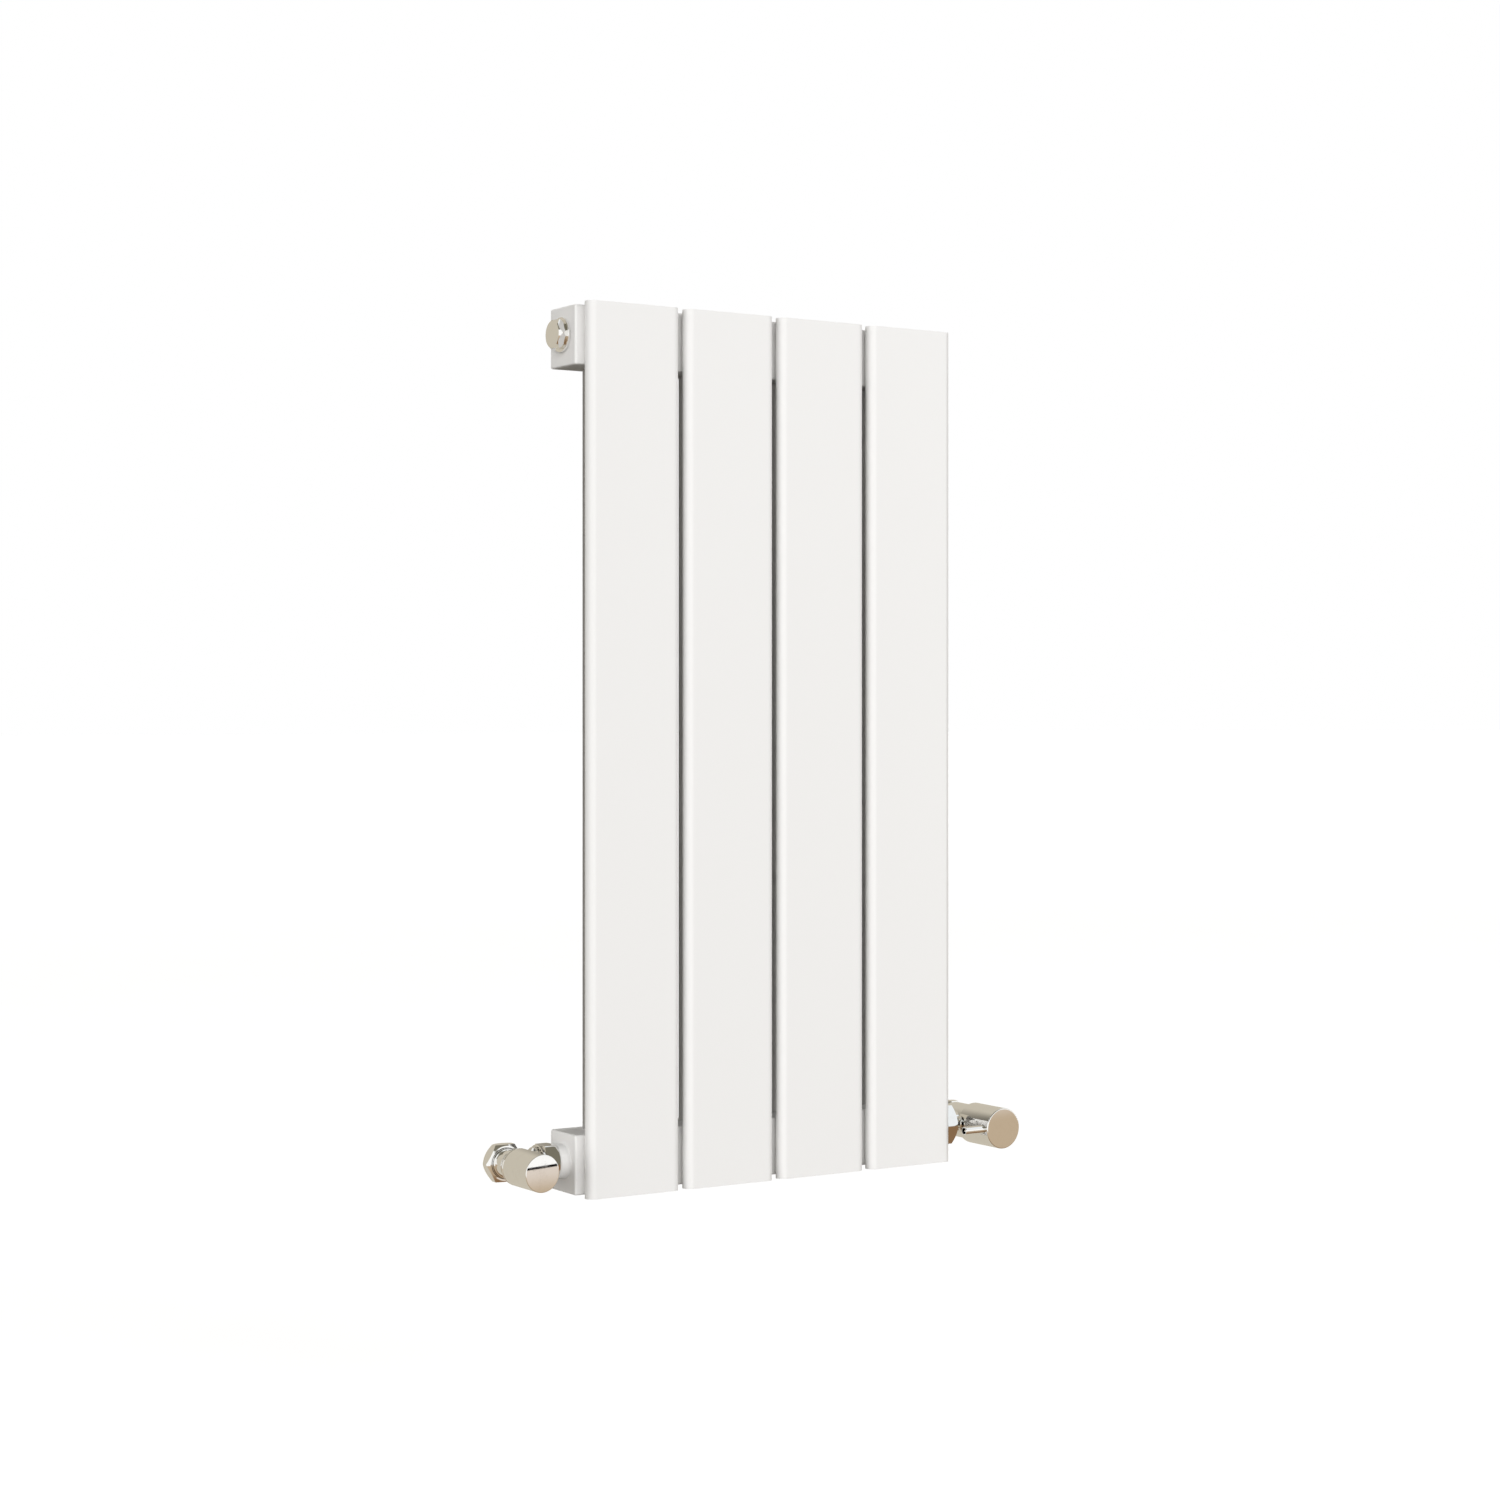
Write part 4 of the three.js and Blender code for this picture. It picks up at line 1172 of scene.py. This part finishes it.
spindleLook = {"edge": 0.5, "driveFlat": 0.8, "driveLength": 8.0}


def makeSpindle():
    low, high = span("lockshield_spindle")
    centre = valveCentre(lockshieldLook)
    radius = (high.z - low.z) / 2 / mm
    length = (high.y - low.y) / mm
    lathe = Turning((centre.x, low.y, centre.z), (0, 1, 0), (0, 0, 1))
    outline = roundCorners([
        (0, 0), (radius, 0, spindleLook["edge"]), (radius, length, 0.3), (0, length)], False)
    spindle = turn("lockshieldSpindle", lathe, outline, evenTurn(64))
    near = lathe.centre + Vector((radius - spindleLook["driveFlat"] / 2, -1, -radius - 1)) * mm
    far = lathe.centre + Vector((radius + 1, spindleLook["driveLength"], radius + 1)) * mm
    combine(spindle, [block("flat", near, far)], "DIFFERENCE")
    settle(spindle, "lockshield_spindle", "brass", ["lockshield_spindle"], 24)


for valve in (lockshieldLook, manualLook):
    makeValveBody(valve)
    makeUnionNut(valve)
    makeCompressionNut(valve)
makeCap()
makeHandle()
makeLever()
makeHeadgear(lockshieldLook)
makeSpindle()
print("valves made")


# ---- CAD nodes that stay, in their finishes

slotOf = {part["node"]: part["material_slot"] for part in frame["record"]["subparts"]}
for name, obj in frame["nodes"].items():
    if obj.hide_render:
        continue
    obj.data.materials.clear()
    obj.data.materials.append(finishes[slotOf[name]])


# ---- camera, floor and light

def makeCamera():
    lens = bpy.data.cameras.new("camera")
    lens.lens = studio["lens"]
    lens.sensor_width = 36.0
    lens.shift_y = studio["shiftY"]
    lens.clip_start = 0.05
    lens.clip_end = 200.0
    camera = link(lens, "camera")
    camera.location = studio["cameraPlace"]
    camera.rotation_euler = (math.radians(90), 0.0, math.radians(-studio["cameraTurn"]))
    scene.camera = camera


def sheet(name, low, high, normal):
    # a flat rectangle across the axis called normal
    lowX, lowY, lowZ = low
    highX, highY, highZ = high
    if normal == "z":
        corners = [(lowX, lowY, lowZ), (highX, lowY, lowZ), (highX, highY, lowZ), (lowX, highY, lowZ)]
    else:
        corners = [(lowX, lowY, lowZ), (highX, lowY, lowZ), (highX, lowY, highZ), (lowX, lowY, highZ)]
    mesh = bpy.data.meshes.new(name)
    mesh.from_pydata(corners, [], [(0, 1, 2, 3)])
    obj = link(mesh, name)
    obj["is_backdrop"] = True
    return obj


def makeFloor():
    height = cadBox[0].z - studio["floorBelow"]
    floor = sheet("floor", (-60, -60, height), (60, 60, height), "z")
    material, graph = newMaterial("paleFloor")
    where = graph.node("ShaderNodeTexCoord", output="Object")
    mottle = graph.noise(where, 7.0, 3.0)
    darker = tuple(0.985 * c for c in studio["floorTone"])
    tone = graph.blend(mottle, rgba(studio["floorTone"]), rgba(darker))
    surface = graph.node("ShaderNodeBsdfPrincipled", None, {
        "Base Color": tone, "Roughness": 0.9, "Emission Color": tone,
        "Emission Strength": studio["floorGlow"]})
    clear = graph.node("ShaderNodeBsdfTransparent")
    under = graph.node("ShaderNodeNewGeometry", output="Backfacing")
    shown = graph.node("ShaderNodeMixShader", None, {0: under, 1: surface, 2: clear})
    graph.node("ShaderNodeOutputMaterial", None, {"Surface": shown})
    floor.data.materials.append(material)
    floor.visible_glossy = False
    floor.visible_diffuse = False
    floor.visible_shadow = False


def makeWall():
    # the lit wall that the part hangs on, a glowing card seen only by its light: it carries a painted shadow, dark
    # behind the radiator
    low, high = span("panel_tube_1", "panel_tube_4")
    wall = sheet("wallGlow", (-6, 0.012, -3), (6, 0.012, 4), "y")
    material, graph = newMaterial("wallGlow")
    where = graph.node("ShaderNodeTexCoord", output="Object")
    x = graph.node("ShaderNodeSeparateXYZ", None, {"Vector": where}, "X")
    z = graph.other("Z")
    fromSide = abs(x) - high.x
    fromEnd = abs(z) - high.z
    outside = fromSide.maths("MAXIMUM", fromSide, fromEnd)
    mirrored = graph.node("ShaderNodeLightPath", output="Is Glossy Ray")
    # painted shadow of the radiator on the wall: the glow is lowest 45 mm inside the radiator's outline, full 35 mm
    # outside it, and less dark in reflections
    lit = graph.remap(outside, -0.045, 0.035, mirrored * 0.3 + 0.012, 1.0)
    colour = graph.blend(mirrored, rgba(studio["wallLit"]), rgba(studio["wallMirrored"]))
    glow = graph.node("ShaderNodeEmission", None, {"Color": colour, "Strength": lit})
    graph.node("ShaderNodeOutputMaterial", None, {"Surface": glow})
    wall.data.materials.append(material)
    wall.visible_camera = False
    wall.visible_shadow = False


def makeWorld():
    world = bpy.data.worlds.new("room")
    scene.world = world
    world.use_nodes = True
    graph = Graph(world.node_tree)
    towards = graph.node("ShaderNodeTexCoord", output="Generated")
    x = graph.node("ShaderNodeSeparateXYZ", None, {"Vector": towards}, "X")
    y = graph.other("Y")
    z = graph.other("Z")
    aboveFloor = z - x * studio["floorSlopeX"] - y * studio["floorSlopeY"]
    room = graph.blend(graph.remap(z, 0.35, 0.6), rgba(studio["roomLight"]), rgba(studio["ceilingLight"]))
    nearer = graph.blend(graph.remap(aboveFloor, -0.75, -0.12),
                         rgba(studio["floorNear"]), rgba(studio["floorMiddle"]))
    boards = graph.blend(graph.remap(aboveFloor, -0.010, -0.001),
                         nearer, rgba(studio["floorFar"]))
    inCorner = graph.remap(z, 0.42, 0.5) * graph.remap(x + y * 0.97, 0.02, -0.06)
    room = graph.blend(inCorner, room, rgba(studio["ceilingCorner"]))
    isFloor = aboveFloor < 0.0
    isLine = abs(aboveFloor) < 0.00045
    surroundings = graph.blend(isFloor, room, boards)
    surroundings = graph.blend(isLine, surroundings, rgba(studio["skirtingLine"]))
    isWall = y > 0.0
    surroundings = graph.blend(isWall, surroundings, rgba((0.0, 0.0, 0.0)))
    fill = graph.blend(graph.remap(z, -0.7, 0.7), rgba(studio["softLightBelow"]), rgba(studio["softLight"]))
    fill = graph.blend(graph.remap(y, -0.85, -0.45), fill, rgba((0.05, 0.045, 0.04)))
    seen = graph.node("ShaderNodeLightPath", output="Is Camera Ray")
    colour = graph.blend(graph.other("Is Diffuse Ray"), surroundings, fill)
    colour = graph.blend(seen, colour, rgba(studio["backdrop"]))
    light = graph.node("ShaderNodeBackground", None, {"Color": colour, "Strength": 1.0})
    graph.node("ShaderNodeOutputWorld", None, {"Surface": light})


def makeLight(name, kind, place, target, power, size=1.0):
    lamp = bpy.data.lights.new(name, kind)
    lamp.energy = power
    if kind == "AREA":
        lamp.size = size
    else:
        lamp.angle = math.radians(size)
    obj = link(lamp, name)
    obj.location = place
    obj.rotation_euler = (Vector(target) - Vector(place)).to_track_quat("-Z", "Y").to_euler()
    obj.visible_glossy = False
    obj.visible_camera = False
    return obj


def lightOnly(lamp, *leftOut):
    # the lamp lights every piece except those named
    lit = bpy.data.collections.new(lamp.name + "Lit")
    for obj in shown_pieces():
        if obj.name not in leftOut:
            lit.objects.link(obj)
    lamp.light_linking.receiver_collection = lit


def makeLights():
    makeLight("key", "AREA", (1.6, -2.6, 1.5), (0, 0, 0), studio["keyPower"], 2.2)
    # the convector channels lie in the shade of the panels, so the side light leaves them out
    side = makeLight("side", "SUN", (-3, -1.2, 0.9), (0, 0, 0), studio["sidePower"], 50.0)
    lightOnly(side, "convectorChannels")
    # the wall card glows dimly and carries a painted shadow behind the radiator, which keeps the back and the far
    # side dark, so they get straight lights of their own
    farSide = makeLight("farSide", "SUN", (3, 0.5, 0.5), (0, 0, 0), studio["farSidePower"], 20.0)
    lightOnly(farSide, "panels", "convectorChannels")
    back = makeLight("back", "SUN", (0, 3, 0.6), (0, 0, 0), studio["backPower"], 20.0)
    lightOnly(back, "panels")
    makeLight("backSoft", "SUN", (0.6, 3, 0.3), (0, 0, 0), studio["backSoftPower"], 30.0)


makeCamera()
makeFloor()
makeWall()
makeWorld()
makeLights()
scene.view_settings.view_transform = "Standard"
print("camera, floor and light made")
